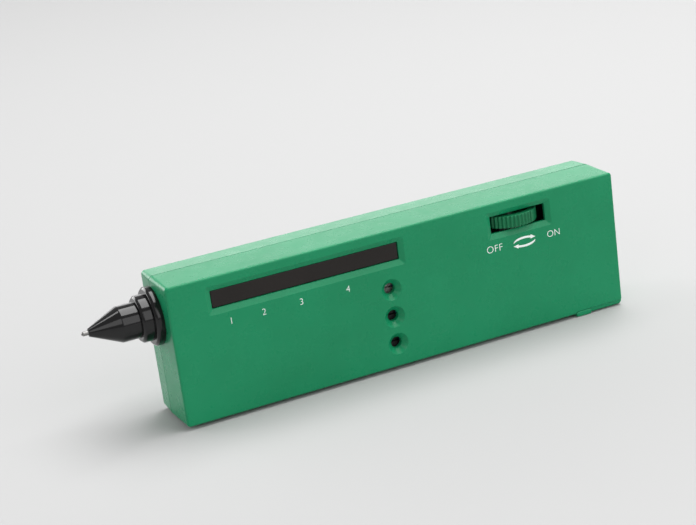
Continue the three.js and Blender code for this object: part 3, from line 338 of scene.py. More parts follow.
def lathe(name, profile, place, segments=TURN_SEGMENTS):
    """Turns a closed profile of radius and reach round an axis.

    The place function gives a point for a radius, an angle and a reach.
    """
    points, faces, rings = [], [], []
    for radius, reach in profile:
        start = len(points)
        if radius < AXIS_RADIUS:
            rings.append([start] * segments)
            points.append(place(0, 0, reach))
        else:
            rings.append([start + i for i in range(segments)])
            points += [place(radius, 2 * math.pi * i / segments, reach) for i in range(segments)]
    for a, b in zip(rings, rings[1:] + rings[:1]):
        if a[0] == a[1] and b[0] == b[1]:
            continue
        for i in range(segments):
            j = (i + 1) % segments
            corners = [a[i], a[j], b[j], b[i]]
            faces.append(tuple(c for n, c in enumerate(corners) if c not in corners[:n]))
    return mesh_object(name, points, faces)


def from_nose(radius, angle, reach):
    """A place round the nose's axis, at a reach out from the case's end face."""
    return (-reach, NOSE_Y + radius * math.cos(angle), NOSE_Z + radius * math.sin(angle))


def along_y(x, z, start):
    """Places round an axis that runs from front to back."""
    def place(radius, angle, reach):
        return (x + radius * math.cos(angle), start + reach, z + radius * math.sin(angle))
    return place


def along_z(x, y, start):
    """Places round an upright axis."""
    def place(radius, angle, reach):
        return (x + radius * math.cos(angle), y + radius * math.sin(angle), start + reach)
    return place


def softened(profile, radius):
    """Rounds the corners of a closed profile whose entries carry a third value above zero."""
    out = []
    count = len(profile)
    for i, entry in enumerate(profile):
        here = Vector(entry[:2])
        if len(entry) < 3:
            out.append(tuple(here))
            continue
        before = Vector(profile[i - 1][:2])
        after = Vector(profile[(i + 1) % count][:2])
        size = min(radius * entry[2], (before - here).length * SOFT_SIDE_SHARE,
                   (after - here).length * SOFT_SIDE_SHARE)
        a = here + (before - here).normalized() * size
        b = here + (after - here).normalized() * size
        for k in range(SOFT_STEPS + 1):
            t = k / SOFT_STEPS
            out.append(tuple(a * (1 - t) ** 2 + here * 2 * t * (1 - t) + b * t * t))
    return out


def boolean(obj, tools, operation="DIFFERENCE"):
    """Joins, cuts or intersects a solid with others, which are used up."""
    for tool in tools:
        step = obj.modifiers.new("step", "BOOLEAN")
        step.operation = operation
        step.solver = "MANIFOLD"
        step.object = tool
        bpy.context.view_layer.update()
        graph = bpy.context.evaluated_depsgraph_get()
        result = bpy.data.meshes.new_from_object(obj.evaluated_get(graph))
        obj.modifiers.clear()
        obj.data = result
        bpy.data.objects.remove(tool)
    return obj


def copy_of(node, name):
    """A copy of a CAD node's mesh, to be refined into the piece that stands for it."""
    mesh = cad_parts[node].data.copy()
    made = add_object(name, mesh)
    weld(mesh, False)
    mesh.materials.clear()
    return made


def smooth(obj, degrees):
    """Smooth shading, with every edge sharper than an angle kept crisp."""
    work = bmesh.new()
    work.from_mesh(obj.data)
    bmesh.ops.dissolve_limit(work, angle_limit=math.radians(FLAT_DEGREES),
                             verts=work.verts, edges=work.edges)
    for face in work.faces:
        face.smooth = True
    for edge in work.edges:
        edge.smooth = edge.calc_face_angle(math.pi) < math.radians(degrees)
    work.to_mesh(obj.data)
    work.free()
    weighted = obj.modifiers.new("weighted", "WEIGHTED_NORMAL")
    weighted.keep_sharp = True


def dress(obj, body, material, nodes, degrees=SHARP_DEGREES):
    """Finishes a piece: shading, material, slot, the nodes that it stands for and its body."""
    smooth(obj, degrees)
    obj.data.materials.clear()
    obj.data.materials.append(material)
    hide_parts(*nodes)
    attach(obj, body)


# Materials
class Nodes:
    """A short way to build a node tree round a Principled shader."""

    # Sockets of a Mix node that blends colours
    FACTOR = 0
    COLOURS = (6, 7)
    RESULT = 2

    def __init__(self, name):
        self.material = bpy.data.materials.new(name)
        self.material.use_nodes = True
        self.tree = self.material.node_tree
        self.shader = self.tree.nodes["Principled BSDF"]
        coordinates = self.tree.nodes.new("ShaderNodeTexCoord")
        self.place = coordinates.outputs["Object"]

    def add(self, kind, **values):
        node = self.tree.nodes.new(kind)
        for key, value in values.items():
            setattr(node, key, value)
        return node

    def link(self, a, b):
        self.tree.links.new(a, b)

    def noise(self, scale, detail=2.0, roughness=0.5, stretch=(1, 1, 1)):
        mapping = self.add("ShaderNodeMapping")
        mapping.inputs["Scale"].default_value = stretch
        self.link(self.place, mapping.inputs["Vector"])
        node = self.add("ShaderNodeTexNoise")
        node.inputs["Scale"].default_value = scale
        node.inputs["Detail"].default_value = detail
        node.inputs["Roughness"].default_value = roughness
        self.link(mapping.outputs["Vector"], node.inputs["Vector"])
        return node.outputs["Fac"]

    def spread(self, value, low, high, start=0.3, end=0.7):
        """Stretches what lies between start and end to run from low to high."""
        node = self.add("ShaderNodeMapRange")
        node.inputs["From Min"].default_value = start
        node.inputs["From Max"].default_value = end
        node.inputs["To Min"].default_value = low
        node.inputs["To Max"].default_value = high
        self.link(value, node.inputs["Value"])
        return node.outputs["Result"]

    def blend(self, factor, colour_a, colour_b):
        """Mixes two colours, each a constant or another node's output."""
        node = self.add("ShaderNodeMix", data_type="RGBA")
        for index, colour in zip(self.COLOURS, (colour_a, colour_b)):
            if isinstance(colour, tuple):
                node.inputs[index].default_value = (*colour, 1)
            else:
                self.link(colour, node.inputs[index])
        self.link(factor, node.inputs[self.FACTOR])
        return node.outputs[self.RESULT]

    def product(self, a, b):
        node = self.add("ShaderNodeMath", operation="MULTIPLY")
        self.link(a, node.inputs[0])
        self.link(b, node.inputs[1])
        return node.outputs[0]

    def bump(self, height, distance, strength=1.0):
        node = self.add("ShaderNodeBump")
        node.inputs["Distance"].default_value = distance
        node.inputs["Strength"].default_value = strength
        self.link(height, node.inputs["Height"])
        return node.outputs["Normal"]

    def edges(self, radius, sharp=0.82, flat=0.995):
        """0 on flats, up to 1 on sharp edges, from the cosine between true and bevelled normals."""
        bevel = self.add("ShaderNodeBevel", samples=6)
        bevel.inputs["Radius"].default_value = radius
        geometry = self.add("ShaderNodeNewGeometry")
        cosine = self.add("ShaderNodeVectorMath", operation="DOT_PRODUCT")
        self.link(bevel.outputs["Normal"], cosine.inputs[0])
        self.link(geometry.outputs["Normal"], cosine.inputs[1])
        return self.spread(cosine.outputs["Value"], 1.0, 0.0, sharp, flat)

    def set(self, **values):
        for key, value in values.items():
            self.shader.inputs[key.replace("_", " ")].default_value = value

    def colour(self, output):
        self.link(output, self.shader.inputs["Base Color"])

    def roughness(self, output):
        self.link(output, self.shader.inputs["Roughness"])

    def normal(self, output):
        self.link(output, self.shader.inputs["Normal"])


# Scales of the noises, in cycles per metre, and sizes in metres
DRIFT_SCALE = 38
POLISH_SCALE = 210
GRAIN_SCALE = 5200
GRAIN_DEPTH = 0.000012
PLASTIC_SHINE = 0.5
WEAR_SCALE = 900
WEAR_RADIUS = 0.00035
WEAR_SHARE = 0.75
METAL_LINE_SCALE = 1800
METAL_POLISH_SCALE = 420
METAL_LINE_DEPTH = 0.000006
METAL_LINE_STRENGTH = 0.6
TRACK_SCALE = 260
TRACK_GAP = 0.03
TRACK_HEIGHT = 0.00003
BOARD_POLISH_SCALE = 600
HAZE_SCALE = 60
LENS_POLISH_SCALE = 500
RIPPLE_SCALE = 90
RIPPLE_DEPTH = 0.00002
LENS_SHINE = 0.32
INK_SCALE = 2600
INK_POLISH_SCALE = 900
FOAM_SCALE = 1500
FOAM_DEPTH = 0.0002
FOAM_ROUGHNESS = 0.95


def moulded(name, light, dark, rough, grain=GRAIN_DEPTH, grain_scale=GRAIN_SCALE, worn=None,
            shine=PLASTIC_SHINE):
    """Moulded plastic: a slow drift of tone, a fine eroded grain and, if given, worn edges."""
    nodes = Nodes(name)
    drift = nodes.spread(nodes.noise(DRIFT_SCALE, 3), 0, 1)
    tone = nodes.blend(drift, dark, light)
    if worn:
        edge = nodes.edges(WEAR_RADIUS)
        broken = nodes.spread(nodes.noise(WEAR_SCALE, 3, 0.6), 0.0, WEAR_SHARE)
        tone = nodes.blend(nodes.product(edge, broken), tone, worn)
    nodes.colour(tone)
    nodes.roughness(nodes.spread(nodes.noise(POLISH_SCALE, 4, 0.6), *rough))
    nodes.normal(nodes.bump(nodes.noise(grain_scale, 2, 0.55), grain))
    nodes.set(Specular_IOR_Level=shine)
    return nodes.material


def metal(name, light, dark, rough=(0.2, 0.34), stretch=(1, 1, 1)):
    """Plain metal with drawn or turned lines and uneven polish."""
    nodes = Nodes(name)
    lines = nodes.noise(METAL_LINE_SCALE, 3, 0.6, stretch)
    nodes.colour(nodes.blend(nodes.spread(lines, 0, 1), dark, light))
    nodes.roughness(nodes.spread(nodes.noise(METAL_POLISH_SCALE, 3), *rough))
    nodes.normal(nodes.bump(lines, METAL_LINE_DEPTH, METAL_LINE_STRENGTH))
    nodes.set(Metallic=1.0)
    return nodes.material


def solder_mask():
    """Printed board: solder mask with faint tracks under it."""
    nodes = Nodes("board")
    tracks = nodes.add("ShaderNodeTexBrick")
    tracks.inputs["Scale"].default_value = TRACK_SCALE
    tracks.inputs["Color1"].default_value = (1, 1, 1, 1)
    tracks.inputs["Color2"].default_value = (0.6, 0.6, 0.6, 1)
    tracks.inputs["Mortar"].default_value = (0, 0, 0, 1)
    tracks.inputs["Mortar Size"].default_value = TRACK_GAP
    nodes.link(nodes.place, tracks.inputs["Vector"])
    nodes.colour(nodes.blend(tracks.outputs["Color"], (0.008, 0.06, 0.022), (0.018, 0.13, 0.05)))
    nodes.roughness(nodes.spread(nodes.noise(BOARD_POLISH_SCALE), 0.3, 0.45))
    nodes.normal(nodes.bump(tracks.outputs["Color"], TRACK_HEIGHT))
    return nodes.material


def lens_plastic():
    """Smoked window plastic, with a slight haze and faint moulding ripple."""
    nodes = Nodes("smoked_window")
    haze = nodes.spread(nodes.noise(HAZE_SCALE, 3), 0, 1)
    nodes.colour(nodes.blend(haze, (0.0075, 0.005, 0.0035), (0.011, 0.0075, 0.006)))
    nodes.roughness(nodes.spread(nodes.noise(LENS_POLISH_SCALE, 3), 0.16, 0.26))
    nodes.normal(nodes.bump(nodes.noise(RIPPLE_SCALE), RIPPLE_DEPTH))
    nodes.set(Specular_IOR_Level=LENS_SHINE)
    return nodes.material


def printed_white():
    """White ink, a little uneven."""
    nodes = Nodes("white_print")
    cover = nodes.spread(nodes.noise(INK_SCALE, 3, 0.7), 0, 1)
    nodes.colour(nodes.blend(cover, (0.86, 0.91, 0.88), (0.95, 0.98, 0.96)))
    nodes.roughness(nodes.spread(nodes.noise(INK_POLISH_SCALE), 0.4, 0.6))
    return nodes.material


def open_foam():
    """Dark foam with open cells."""
    nodes = Nodes("foam")
    cells = nodes.add("ShaderNodeTexVoronoi")
    cells.inputs["Scale"].default_value = FOAM_SCALE
    nodes.link(nodes.place, cells.inputs["Vector"])
    nodes.colour(nodes.blend(cells.outputs["Distance"], (0.02, 0.02, 0.021), (0.07, 0.07, 0.073)))
    nodes.normal(nodes.bump(cells.outputs["Distance"], FOAM_DEPTH))
    nodes.set(Roughness=FOAM_ROUGHNESS)
    return nodes.material


LAMP_GLOSS = (0.12, 0.2)
SLEEVE_ROUGHNESS = (0.42, 0.55)

green = moulded("green_plastic", (0.008, 0.258, 0.11), (0.006, 0.227, 0.094), (0.25, 0.32),
                grain=0.000005, worn=(0.06, 0.4, 0.22), shine=0.25)
wheel_green = moulded("wheel_green", (0.007, 0.185, 0.074), (0.005, 0.145, 0.056), (0.38, 0.5),
                      worn=(0.08, 0.4, 0.22), shine=0.3)
gloss_black = moulded("gloss_black", (0.006, 0.006, 0.0065), (0.004, 0.004, 0.0042), (0.08, 0.13),
                      grain=0.000003, grain_scale=900, shine=0.4)
smoked = lens_plastic()
white_print = printed_white()
dark_plastic = moulded("dark_plastic", (0.024, 0.024, 0.026), (0.013, 0.013, 0.014), (0.5, 0.65))
blue_plastic = moulded("blue_plastic", (0.03, 0.12, 0.4), (0.022, 0.09, 0.32), (0.35, 0.5))
green_lamp = moulded("green_lamp", (0.07, 0.45, 0.08), (0.05, 0.36, 0.06), LAMP_GLOSS,
                     grain=0.000002)
red_lamp = moulded("red_lamp", (0.52, 0.035, 0.025), (0.42, 0.02, 0.015), LAMP_GLOSS,
                   grain=0.000002)
red_sleeve = moulded("red_sleeve", (0.42, 0.02, 0.02), (0.33, 0.012, 0.012), SLEEVE_ROUGHNESS)
black_sleeve = moulded("black_sleeve", (0.02, 0.02, 0.021), (0.012, 0.012, 0.013),
                       SLEEVE_ROUGHNESS)
white_sleeve = moulded("white_sleeve", (0.72, 0.7, 0.64), (0.62, 0.6, 0.54), SLEEVE_ROUGHNESS)
lacquer = moulded("lacquer", (0.6, 0.46, 0.27), (0.5, 0.37, 0.2), (0.3, 0.4))
cell_wrap = moulded("cell_wrap", (0.1, 0.11, 0.13), (0.07, 0.078, 0.09), (0.22, 0.32),
                    grain=0.000003)
foam = open_foam()
board = solder_mask()
steel = metal("steel", (0.7, 0.7, 0.71), (0.5, 0.5, 0.52), stretch=(1, 6, 6))
pin_steel = metal("pin_steel", (0.32, 0.315, 0.31), (0.2, 0.195, 0.19), (0.26, 0.42),
                  stretch=(8, 1, 1))
dull_steel = metal("dull_steel", (0.3, 0.29, 0.27), (0.1, 0.1, 0.1), (0.4, 0.55))
# Painted shade: a near-black copy of the steel for trimmer rotors 2 and 3, darkened to stand for
# the shade deep in their access holes.
painted_shade_steel = metal("painted_shade_steel", (0.05, 0.048, 0.048), (0.022, 0.021, 0.022), (0.5, 0.65))
brass = metal("brass", (0.78, 0.58, 0.27), (0.6, 0.42, 0.17), (0.24, 0.38))


# Case shells: the CAD solid with its outside made fine, then its visible openings cut afresh
def shell_skin(front_side):
    """The outside of one shell as a thin skin, which passes the CAD's seam face by a hair."""
    reach = SEAM_HALF - SEAM_PASS
    if front_side:
        outer = rounded_block("skin", 0, CASE_LENGTH, FRONT, PARTING - reach, 0, CASE_HEIGHT,
                              CORNER, EDGE, back_edge=0, draft=(0, DRAFT))
        inner_y = (FRONT + SKIN, PARTING + OVERRUN)
    else:
        outer = rounded_block("skin", 0, CASE_LENGTH, PARTING + reach, BACK, 0, CASE_HEIGHT,
                              CORNER, 0, back_edge=EDGE, draft=(DRAFT, 0))
        inner_y = (PARTING - OVERRUN, BACK - SKIN)
    core = block("core", SKIN, CASE_LENGTH - SKIN, *inner_y, SKIN, CASE_HEIGHT - SKIN)
    return boolean(outer, [core])


def seam_opening():
    """The wedge that widens the seam a little on the top edge, next to the battery end."""
    low, high = CASE_HEIGHT - SEAM_STEP, CASE_HEIGHT + DRAFT + SEAM_OPEN_RISE
    ends = []
    wedge = ((SEAM_OPEN_START, SEAM_OPEN_LEAST), (CASE_LENGTH + OVERRUN, SEAM_OPEN_MOST))
    for x, widening in wedge:
        y0, y1 = PARTING - SEAM_HALF - widening, PARTING + SEAM_HALF + widening
        ends.append([(x, y0, low), (x, y1, low), (x, y1, high), (x, y0, high)])
    return loft("seam_opening", ends)


def door_cutters():
    """What the door takes out of both shells."""
    past_end = CASE_LENGTH + OVERRUN
    cuts = [
        block("mouth", CASE_LENGTH - WALL, past_end, FRONT + WALL, BACK - WALL, -OVERRUN,
              DOOR_TOP + DOOR_FIT),
        block("strip", DOOR_START - DOOR_FIT, past_end, FRONT - OVERRUN, BACK + OVERRUN, -OVERRUN,
              STRIP_RISE + DOOR_FIT),
    ]
    for y in GUIDE_Y:
        cuts.append(block("slot", GUIDE_START - DOOR_FIT, CASE_LENGTH, y - SLOT_HALF, y + SLOT_HALF,
                          0, WALL + OVERRUN))
    return cuts


def flared_cutter(name, x0, x1):
    """The cutter for a window whose rim flares to the front, with slightly softened edges."""
    throat = FRONT + FLARE_DEPTH
    rows = (
        (FRONT - OVERRUN, FLARE_WIDTH + FLARE_OVERRUN),
        (FRONT, FLARE_WIDTH + SOFT_EDGE),
        (FRONT + RIM_ROUND, FLARE_WIDTH),
        (throat - 2 * RIM_ROUND, 4 * RIM_ROUND),
        (throat + RIM_ROUND, THROAT_LEAST),
        (throat + 4 * RIM_ROUND, 0),
        (FRONT + WALL + OVERRUN, 0),
    )
    loops = []
    for y, grow in rows:
        outline = rounded_rectangle(
            x0 - grow, x1 + grow, ROW_Z - WINDOW_HALF - grow, ROW_Z + WINDOW_HALF + grow,
            WINDOW_CORNER + grow * FLARE_CORNER_SHARE, WINDOW_CORNER_STEPS)
        loops.append([(x, y, z) for x, z in outline])
    return loft(name, loops)


def access_cutter(z):
    """A countersunk screwdriver hole through the front wall."""
    slope = (SINK_RADIUS - ACCESS_RADIUS) / SINK_DEPTH
    profile = [
        (0, -OVERRUN),
        (SINK_RADIUS + slope + SINK_OVERRUN, -OVERRUN),
        (SINK_RADIUS + SOFT_EDGE, 0),
        (SINK_RADIUS, SINK_LIP),
        (ACCESS_RADIUS + SINK_ROUND, SINK_DEPTH - 2 * RIM_ROUND),
        (ACCESS_RADIUS, SINK_DEPTH + SINK_ROUND),
        (ACCESS_RADIUS, ACCESS_REACH),
        (0, ACCESS_REACH),
    ]
    return lathe("access", profile, along_y(ACCESS_X, z, FRONT), ACCESS_SEGMENTS)


def nose_cutter():
    """The round hole for the nose in the end wall of both shells."""
    profile = [(0, OVERRUN), (NOSE_HOLE_RADIUS, OVERRUN),
               (NOSE_HOLE_RADIUS, -NOSE_HOLE_REACH), (0, -NOSE_HOLE_REACH)]
    return lathe("nose_hole", profile, from_nose, NOSE_HOLE_SEGMENTS)


def screw_bore(x, z):
    """The bore that takes a case screw's head, from the back."""
    radius, mouth = SCREW_BORE_RADIUS, SCREW_DEPTH + OVERRUN
    profile = [(0, mouth), (radius + SCREW_BORE_FLARE, mouth), (radius + SOFT_EDGE, SCREW_DEPTH),
               (radius, SCREW_DEPTH - SOFT_EDGE), (radius, 0), (0, 0)]
    return lathe("bore", profile, along_y(x, z, SCREW_SEAT), SCREW_BORE_SEGMENTS)


def case_shell(node, name, front_side):
    """One shell of the case, still without its own openings."""
    shell = copy_of(node, name)
    skin = shell_skin(front_side)
    boolean(skin, door_cutters())
    return boolean(shell, [skin], "UNION")


def front_case():
    shell = case_shell("front_shell", "front_case", True)
    cutters = [flared_cutter("lamps", *LAMP_WINDOW), flared_cutter("wheel", *WHEEL_WINDOW),
               nose_cutter()]
    cutters += [access_cutter(z) for z in ACCESS_Z] + [seam_opening()]
    boolean(shell, cutters)
    dress(shell, "case", green, ["front_shell"])


def back_case():
    shell = case_shell("back_shell", "back_case", False)
    boolean(shell, [nose_cutter(), seam_opening()] + [screw_bore(x, z) for x, z in SCREWS])
    dress(shell, "case", green, ["back_shell"])


def door():
    """The sliding door: its strip under the case, end plate, thumb lip, guides and finger grips."""
    past_end = CASE_LENGTH + OVERRUN
    envelope = rounded_block("door", 0, CASE_LENGTH, FRONT + STRIP_INSET, BACK - STRIP_INSET,
                             -STRIP_DROP, CASE_HEIGHT, CORNER, EDGE)
    strip = block("strip", DOOR_START, past_end, FRONT, BACK, -STRIP_DROP - OVERRUN, STRIP_RISE)
    plate = block("plate", CASE_LENGTH - WALL + DOOR_END_FIT, past_end, FRONT + WALL + DOOR_FIT,
                  BACK - WALL - DOOR_FIT, 0, DOOR_TOP)
    boolean(strip, [plate], "UNION")
    boolean(envelope, [strip], "INTERSECT")
    lip = rounded_block("lip", DOOR_START, DOOR_START + LIP_LENGTH, FRONT, FRONT + LIP_DEPTH,
                        -LIP_DROP, STRIP_RISE, LIP_CORNER, LIP_EDGE)
    guides = [block("guide", GUIDE_START, CASE_LENGTH - GUIDE_END_GAP, y - GUIDE_HALF,
                    y + GUIDE_HALF, STRIP_RISE - GUIDE_OVERLAP, STRIP_RISE + GUIDE_RISE)
              for y in GUIDE_Y]
    boolean(envelope, [lip] + guides, "UNION")
    middle = DOOR_TOP / 2
    grips = []
    for i in range(GRIPS):
        y = (i - GRIPS // 2) * GRIP_PITCH
        grips.append(rounded_block("grip", CASE_LENGTH - GRIP_DEPTH, past_end, y - GRIP_HALF,
                                   y + GRIP_HALF, middle - GRIP_RISE, middle + GRIP_RISE,
                                   GRIP_ROUND, GRIP_ROUND, SMALL_EDGE_STEPS))
    boolean(envelope, grips)
    dress(envelope, "door", green, ["battery_door"])


def lens():
    """The smoked window, with the flange that holds it behind the front wall."""
    start, end = LAMP_WINDOW
    inner_face = FRONT + WALL
    half = WINDOW_HALF + LENS_FLANGE_WIDTH
    face = rounded_block("window", start + LENS_FIT, end - LENS_FIT, FRONT + LENS_RECESS,
                         inner_face + LENS_OVERLAP, ROW_Z - WINDOW_HALF + LENS_FIT,
                         ROW_Z + WINDOW_HALF - LENS_FIT, LENS_CORNER, LENS_EDGE,
                         SMALL_EDGE_STEPS, back_edge=0)
    flange = block("flange", start - LENS_FLANGE_WIDTH, end + LENS_FLANGE_WIDTH, inner_face,
                   inner_face + LENS_FLANGE_THICKNESS, ROW_Z - half, ROW_Z + half)
    boolean(face, [flange], "UNION")
    dress(face, "case", smoked, ["window_lens"])


# Nose and probe
def nose():
    """The turned nose, joined to the flange plate of the CAD's nose inside the case."""
    body = lathe("nose", softened(NOSE_OUTLINE, NOSE_ROUND), from_nose, NOSE_SEGMENTS)
    plate = copy_of("nose_cone", "plate")
    boolean(plate, [block("keep", *FLANGE_X, FRONT, BACK, *FLANGE_Z)], "INTERSECT")
    boolean(body, [plate], "UNION")
    dress(body, "case", gloss_black, ["nose_cone"], NOSE_SHARP_DEGREES)


def pin():
    """The probe pin, with its round tip, its collar and its tail in the nose."""
    tip = lathe("pin", PIN_OUTLINE, from_nose, PIN_SEGMENTS)
    dress(tip, "probe", pin_steel, ["probe_pin"])


# Thumbwheel
def wheel_outline(shrink):
    """The ribbed rim, with one smooth land, drawn in by an even amount."""
    pitch = 2 * math.pi / RIBS
    spots = []
    for i in range(RIBS):
        ribbed = min(i, RIBS - i) >= LAND_HALF_RIBS
        for share, lift in RIB_POINTS:
            depth = RIB_DEPTH * (1 - lift) if ribbed else 0
            radius = WHEEL_RADIUS - depth - shrink
            angle = math.radians(LAND_DEGREES) + i * pitch + share * pitch
            spots.append((WHEEL_CENTRE[0] + radius * math.cos(angle),
                          WHEEL_CENTRE[1] + radius * math.sin(angle)))
    return spots


def hub_outline():
    """The D-shaped bore that takes the shaft."""
    flat = math.acos(HUB_FLAT_SHARE)
    angles = [flat + (2 * math.pi - 2 * flat) * i / HUB_STEPS for i in range(HUB_STEPS + 1)]
    return [(WHEEL_CENTRE[0] + HUB_RADIUS * math.cos(a), WHEEL_CENTRE[1] + HUB_RADIUS * math.sin(a))
            for a in angles]


def thumb_wheel():
    low, high = ROW_Z - WHEEL_HALF, ROW_Z + WHEEL_HALF
    edge_rows = ((0, WHEEL_ROUND), (WHEEL_ROUND_STEP, WHEEL_ROUND_STEP), (WHEEL_ROUND, 0))
    rows = [(low + rise, shrink) for rise, shrink in edge_rows]
    rows += [(high - rise, shrink) for rise, shrink in reversed(edge_rows)]
    rim = loft("wheel", [[(x, y, z) for x, y in wheel_outline(shrink)] for z, shrink in rows])
    dish = lathe("dish", DISH_OUTLINE, along_z(*WHEEL_CENTRE, high))
    hub = hub_outline()
    bore = loft("bore", [[(x, y, z) for x, y in hub] for z in (low - OVERRUN, high + OVERRUN)])
    boolean(rim, [dish, bore])
    dress(rim, "wheel", wheel_green, ["thumb_wheel"], WHEEL_SHARP_DEGREES)


def case_screw(index, x, z):
    """A cross-headed case screw with its thread."""
    place = along_y(x, z, SCREW_SEAT)
    screw = lathe("screw", softened(SCREW_HEAD, SCREW_HEAD_ROUND), place, SCREW_HEAD_SEGMENTS)
    cuts = []
    for half_x, half_z in ((CROSS_ARM, CROSS_HALF), (CROSS_HALF, CROSS_ARM)):
        cuts.append(block("cross", x - half_x, x + half_x, SCREW_SEAT + CROSS_FLOOR,
                          SCREW_SEAT + CROSS_TOP, z - half_z, z + half_z))
    well = lathe("well", SCREW_WELL, place, SCREW_WELL_SEGMENTS)
    shank = list(SCREW_POINT)
    for i in range(THREADS):
        reach = THREAD_START + i * THREAD_PITCH
        shank += [(radius, reach + step) for radius, step in THREAD_TURN]
    shank += SCREW_NECK
    boolean(screw, [lathe("shank", shank, place, SCREW_SHANK_SEGMENTS)], "UNION")
    boolean(screw, cuts + [well])
    screw.name = f"screw_{index}"
    dress(screw, "case", steel, [f"case_screw_{index}"])


# Print on the front face
def printed(name, text, x, z, height):
    """White lettering centred on a place of the front face, as a thin raised print."""
    curve = bpy.data.curves.new(name, "FONT")
    curve.body = text
    curve.align_x = "CENTER"
    curve.align_y = "CENTER"
    curve.size = height * MM / CAPITAL_SHARE
    curve.extrude = PRINT_HALF * MM
    curve.offset = -PRINT_THINNING * MM
    curve.space_character = PRINT_SPACING
    lettering = add_object(name, curve)
    bpy.context.view_layer.update()
    graph = bpy.context.evaluated_depsgraph_get()
    mesh = bpy.data.meshes.new_from_object(lettering.evaluated_get(graph))
    bpy.data.objects.remove(lettering)
    made = add_object(name, mesh)
    upright = Matrix.Rotation(math.pi / 2, 4, "X")
    mesh.transform(Matrix.Translation(spot(x, FRONT - PRINT_LIFT, z)) @ upright)
    mesh.materials.clear()
    mesh.materials.append(white_print)
    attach(made, "case")


def turn_arrow(name, towards):
    """One of the two curved arrows between the switch's words, as a thin flat shape."""
    outer, inner = [], []
    for i in range(ARROW_STEPS + 1):
        t = i / ARROW_STEPS
        angle = math.radians(ARROW_START_DEGREES - ARROW_SWEEP_DEGREES * t)
        fullness = ARROW_TAIL_SHARE + (1 - ARROW_TAIL_SHARE) * min(1, ARROW_TAPER * t)
        half = ARROW_THICKNESS / 2 * fullness
        x, z = ARROW_HALF_WIDTH * math.cos(angle), ARROW_RISE * math.sin(angle)
        outer.append((x, z + half))
        inner.append((x, z - half))
    head = [
        (outer[-1][0] + ARROW_OUTER_BARB[0], outer[-1][1] + ARROW_OUTER_BARB[1]),
        (ARROW_HALF_WIDTH * ARROW_TIP_SHARES[0], ARROW_RISE * ARROW_TIP_SHARES[1]),
        (inner[-1][0] + ARROW_INNER_BARB[0], inner[-1][1] + ARROW_INNER_BARB[1]),
    ]
    outline = [(ARROW_X + towards * x, ARROW_Z + towards * z)
               for x, z in outer + head + inner[::-1]]
    faces_y = (FRONT - ARROW_LIFT, FRONT + ARROW_SINK)
    arrow = loft(name, [[(x, y, z) for x, z in outline] for y in faces_y])
    arrow.data.materials.append(white_print)
    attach(arrow, "case")


front_case()
back_case()
door()
lens()
nose()
pin()
thumb_wheel()
for number, (screw_x, screw_z) in enumerate(SCREWS, 1):
    case_screw(number, screw_x, screw_z)

printed("off_print", "OFF", OFF_X, WORD_Z, OFF_HEIGHT)
printed("on_print", "ON", ON_X, WORD_Z, ON_HEIGHT)
for number, number_x in enumerate(NUMBER_PLACES, 1):
    printed(f"number_{number}", str(number), number_x, NUMBER_Z, NUMBER_HEIGHT)
turn_arrow("arrow_upper", 1)
turn_arrow("arrow_lower", -1)

# Finishes of the CAD pieces that stay
FINISHES = {
    steel: ["probe_spring", "wheel_screw", "board_screw_1", "board_screw_2", "pot_body",
            "battery_stud_plus", "battery_stud_minus"],
    brass: ["probe_bush", "pot_shaft"],
    # The three trimmer rotors are alike; rotor 1 keeps the plain dull steel, while rotors 2 and 3
    # take the near-black copy as painted shade.
    dull_steel: ["trimmer_rotor_1"],
    painted_shade_steel: ["trimmer_rotor_2", "trimmer_rotor_3"],
    board: ["main_board", "pot_board"],
    dark_plastic: ["probe_plug", "lamp_holder", "chip", "buzzer", "regulator", "battery_snap"],
    blue_plastic: ["trimmer_body_1", "trimmer_body_2", "trimmer_body_3", "capacitor_1",
                   "capacitor_2"],
    green_lamp: [f"lamp_{i}" for i in range(1, 5)],
    red_lamp: [f"lamp_{i}" for i in range(5, 9)],
    foam: ["door_pad"],
    red_sleeve: ["probe_lead_red", "switch_lead_red", "battery_lead_red"],
    black_sleeve: ["probe_lead_black", "switch_lead_black", "battery_lead_black"],
    white_sleeve: ["probe_lead_white"],
    lacquer: ["resistor_1", "resistor_2", "resistor_3"],
    cell_wrap: ["battery"],
}
for finish, names in FINISHES.items():
    for node_name in names:
        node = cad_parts[node_name]
        if node.material_slots:
            for material_slot in node.material_slots:
                material_slot.material = finish
        else:
            node.data.materials.append(finish)

# Floor and light, in metres; a lamp has its place, its target, its width, its height and its power
FLOOR_HALF = 3.0
FLOOR_GREY = 0.46
FLOOR_ROUGHNESS = 0.8
FLOOR_SHINE = 0.05
SKY_STRENGTH = 0.4
LAMPS = {
    "overhead": ((0.52, 0.12, 1.47), (-0.03, 0, 0.02), 1.5, 1.1, 32),
    "back": ((0.8, 2.05, 0.56), (0, 0, 0.02), 2.4, 0.8, 10),
    "front": ((0.75, -1.6, 0.9), (0, 0, 0.02), 1.8, 1.5, 14),
    "left_back": ((-1.6, 2.2, 0.62), (-0.06, 0, 0.02), 2.8, 1.2, 42),
    "cone_line": ((-0.7, 0.45, 1.38), (-0.08, 0, 0.035), 0.3, 0.16, 0.9),
    "cone_band": ((-1.02, -1.04, 0.81), (-0.08, 0, 0.035), 0.5, 0.8, 2.0),
}

# The photograph's viewpoint, from a fit to the case's corners and the probe's tip
SENSOR_WIDTH = 36.0
PHOTO_WIDTH = 696
FOCAL_PIXELS = 1703.87
CAMERA_PLACE = (-134.315, -496.965, 207.419)
CAMERA_RIGHT = Vector((0.90271, -0.41009, -0.13018))
CAMERA_UP = Vector((0.24002, 0.22888, 0.94340))
CLIP_START = 0.01


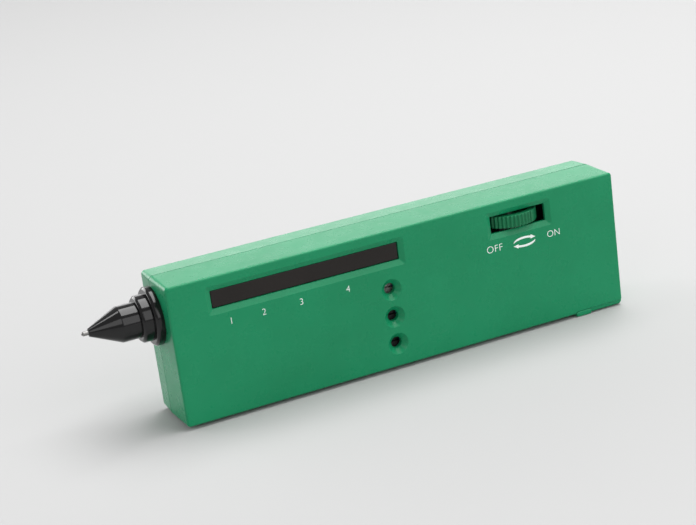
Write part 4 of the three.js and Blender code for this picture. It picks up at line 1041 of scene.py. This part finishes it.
def pale_floor():
    """A plain matt floor under the object."""
    corners = [(-FLOOR_HALF, -FLOOR_HALF, 0), (FLOOR_HALF, -FLOOR_HALF, 0),
               (FLOOR_HALF, FLOOR_HALF, 0), (-FLOOR_HALF, FLOOR_HALF, 0)]
    mesh = bpy.data.meshes.new("floor")
    mesh.from_pydata(corners, [], [(0, 1, 2, 3)])
    floor = add_object("floor", mesh)
    material = bpy.data.materials.new("floor")
    material.use_nodes = True
    shader = material.node_tree.nodes["Principled BSDF"]
    shader.inputs["Base Color"].default_value = (FLOOR_GREY, FLOOR_GREY, FLOOR_GREY, 1)
    shader.inputs["Roughness"].default_value = FLOOR_ROUGHNESS
    shader.inputs["Specular IOR Level"].default_value = FLOOR_SHINE
    mesh.materials.append(material)


def soft_lamp(name, place, target, width, height, power):
    """A rectangular soft box that faces its target."""
    light = bpy.data.lights.new(name, "AREA")
    light.shape = "RECTANGLE"
    light.size = width
    light.size_y = height
    light.energy = power
    lamp = add_object(name, light)
    lamp.location = place
    lamp.rotation_euler = (Vector(target) - Vector(place)).to_track_quat("-Z", "Y").to_euler()


def studio():
    world = bpy.data.worlds.new("studio")
    world.use_nodes = True
    world.node_tree.nodes["Background"].inputs["Color"].default_value = (1, 1, 1, 1)
    world.node_tree.nodes["Background"].inputs["Strength"].default_value = SKY_STRENGTH
    bpy.context.scene.world = world
    for name, values in LAMPS.items():
        soft_lamp(name, *values)


def camera():
    data = bpy.data.cameras.new("camera")
    data.sensor_width = SENSOR_WIDTH
    data.sensor_fit = "HORIZONTAL"
    data.lens = FOCAL_PIXELS / PHOTO_WIDTH * SENSOR_WIDTH
    data.clip_start = CLIP_START
    seen = add_object("camera", data)
    axes = (CAMERA_RIGHT, CAMERA_UP, CAMERA_RIGHT.cross(CAMERA_UP))
    turn = Matrix(axes).transposed().to_4x4()
    seen.matrix_world = Matrix.Translation(spot(*CAMERA_PLACE)) @ turn
    bpy.context.scene.camera = seen


pale_floor()
studio()
camera()
bpy.context.scene.view_settings.view_transform = "Standard"
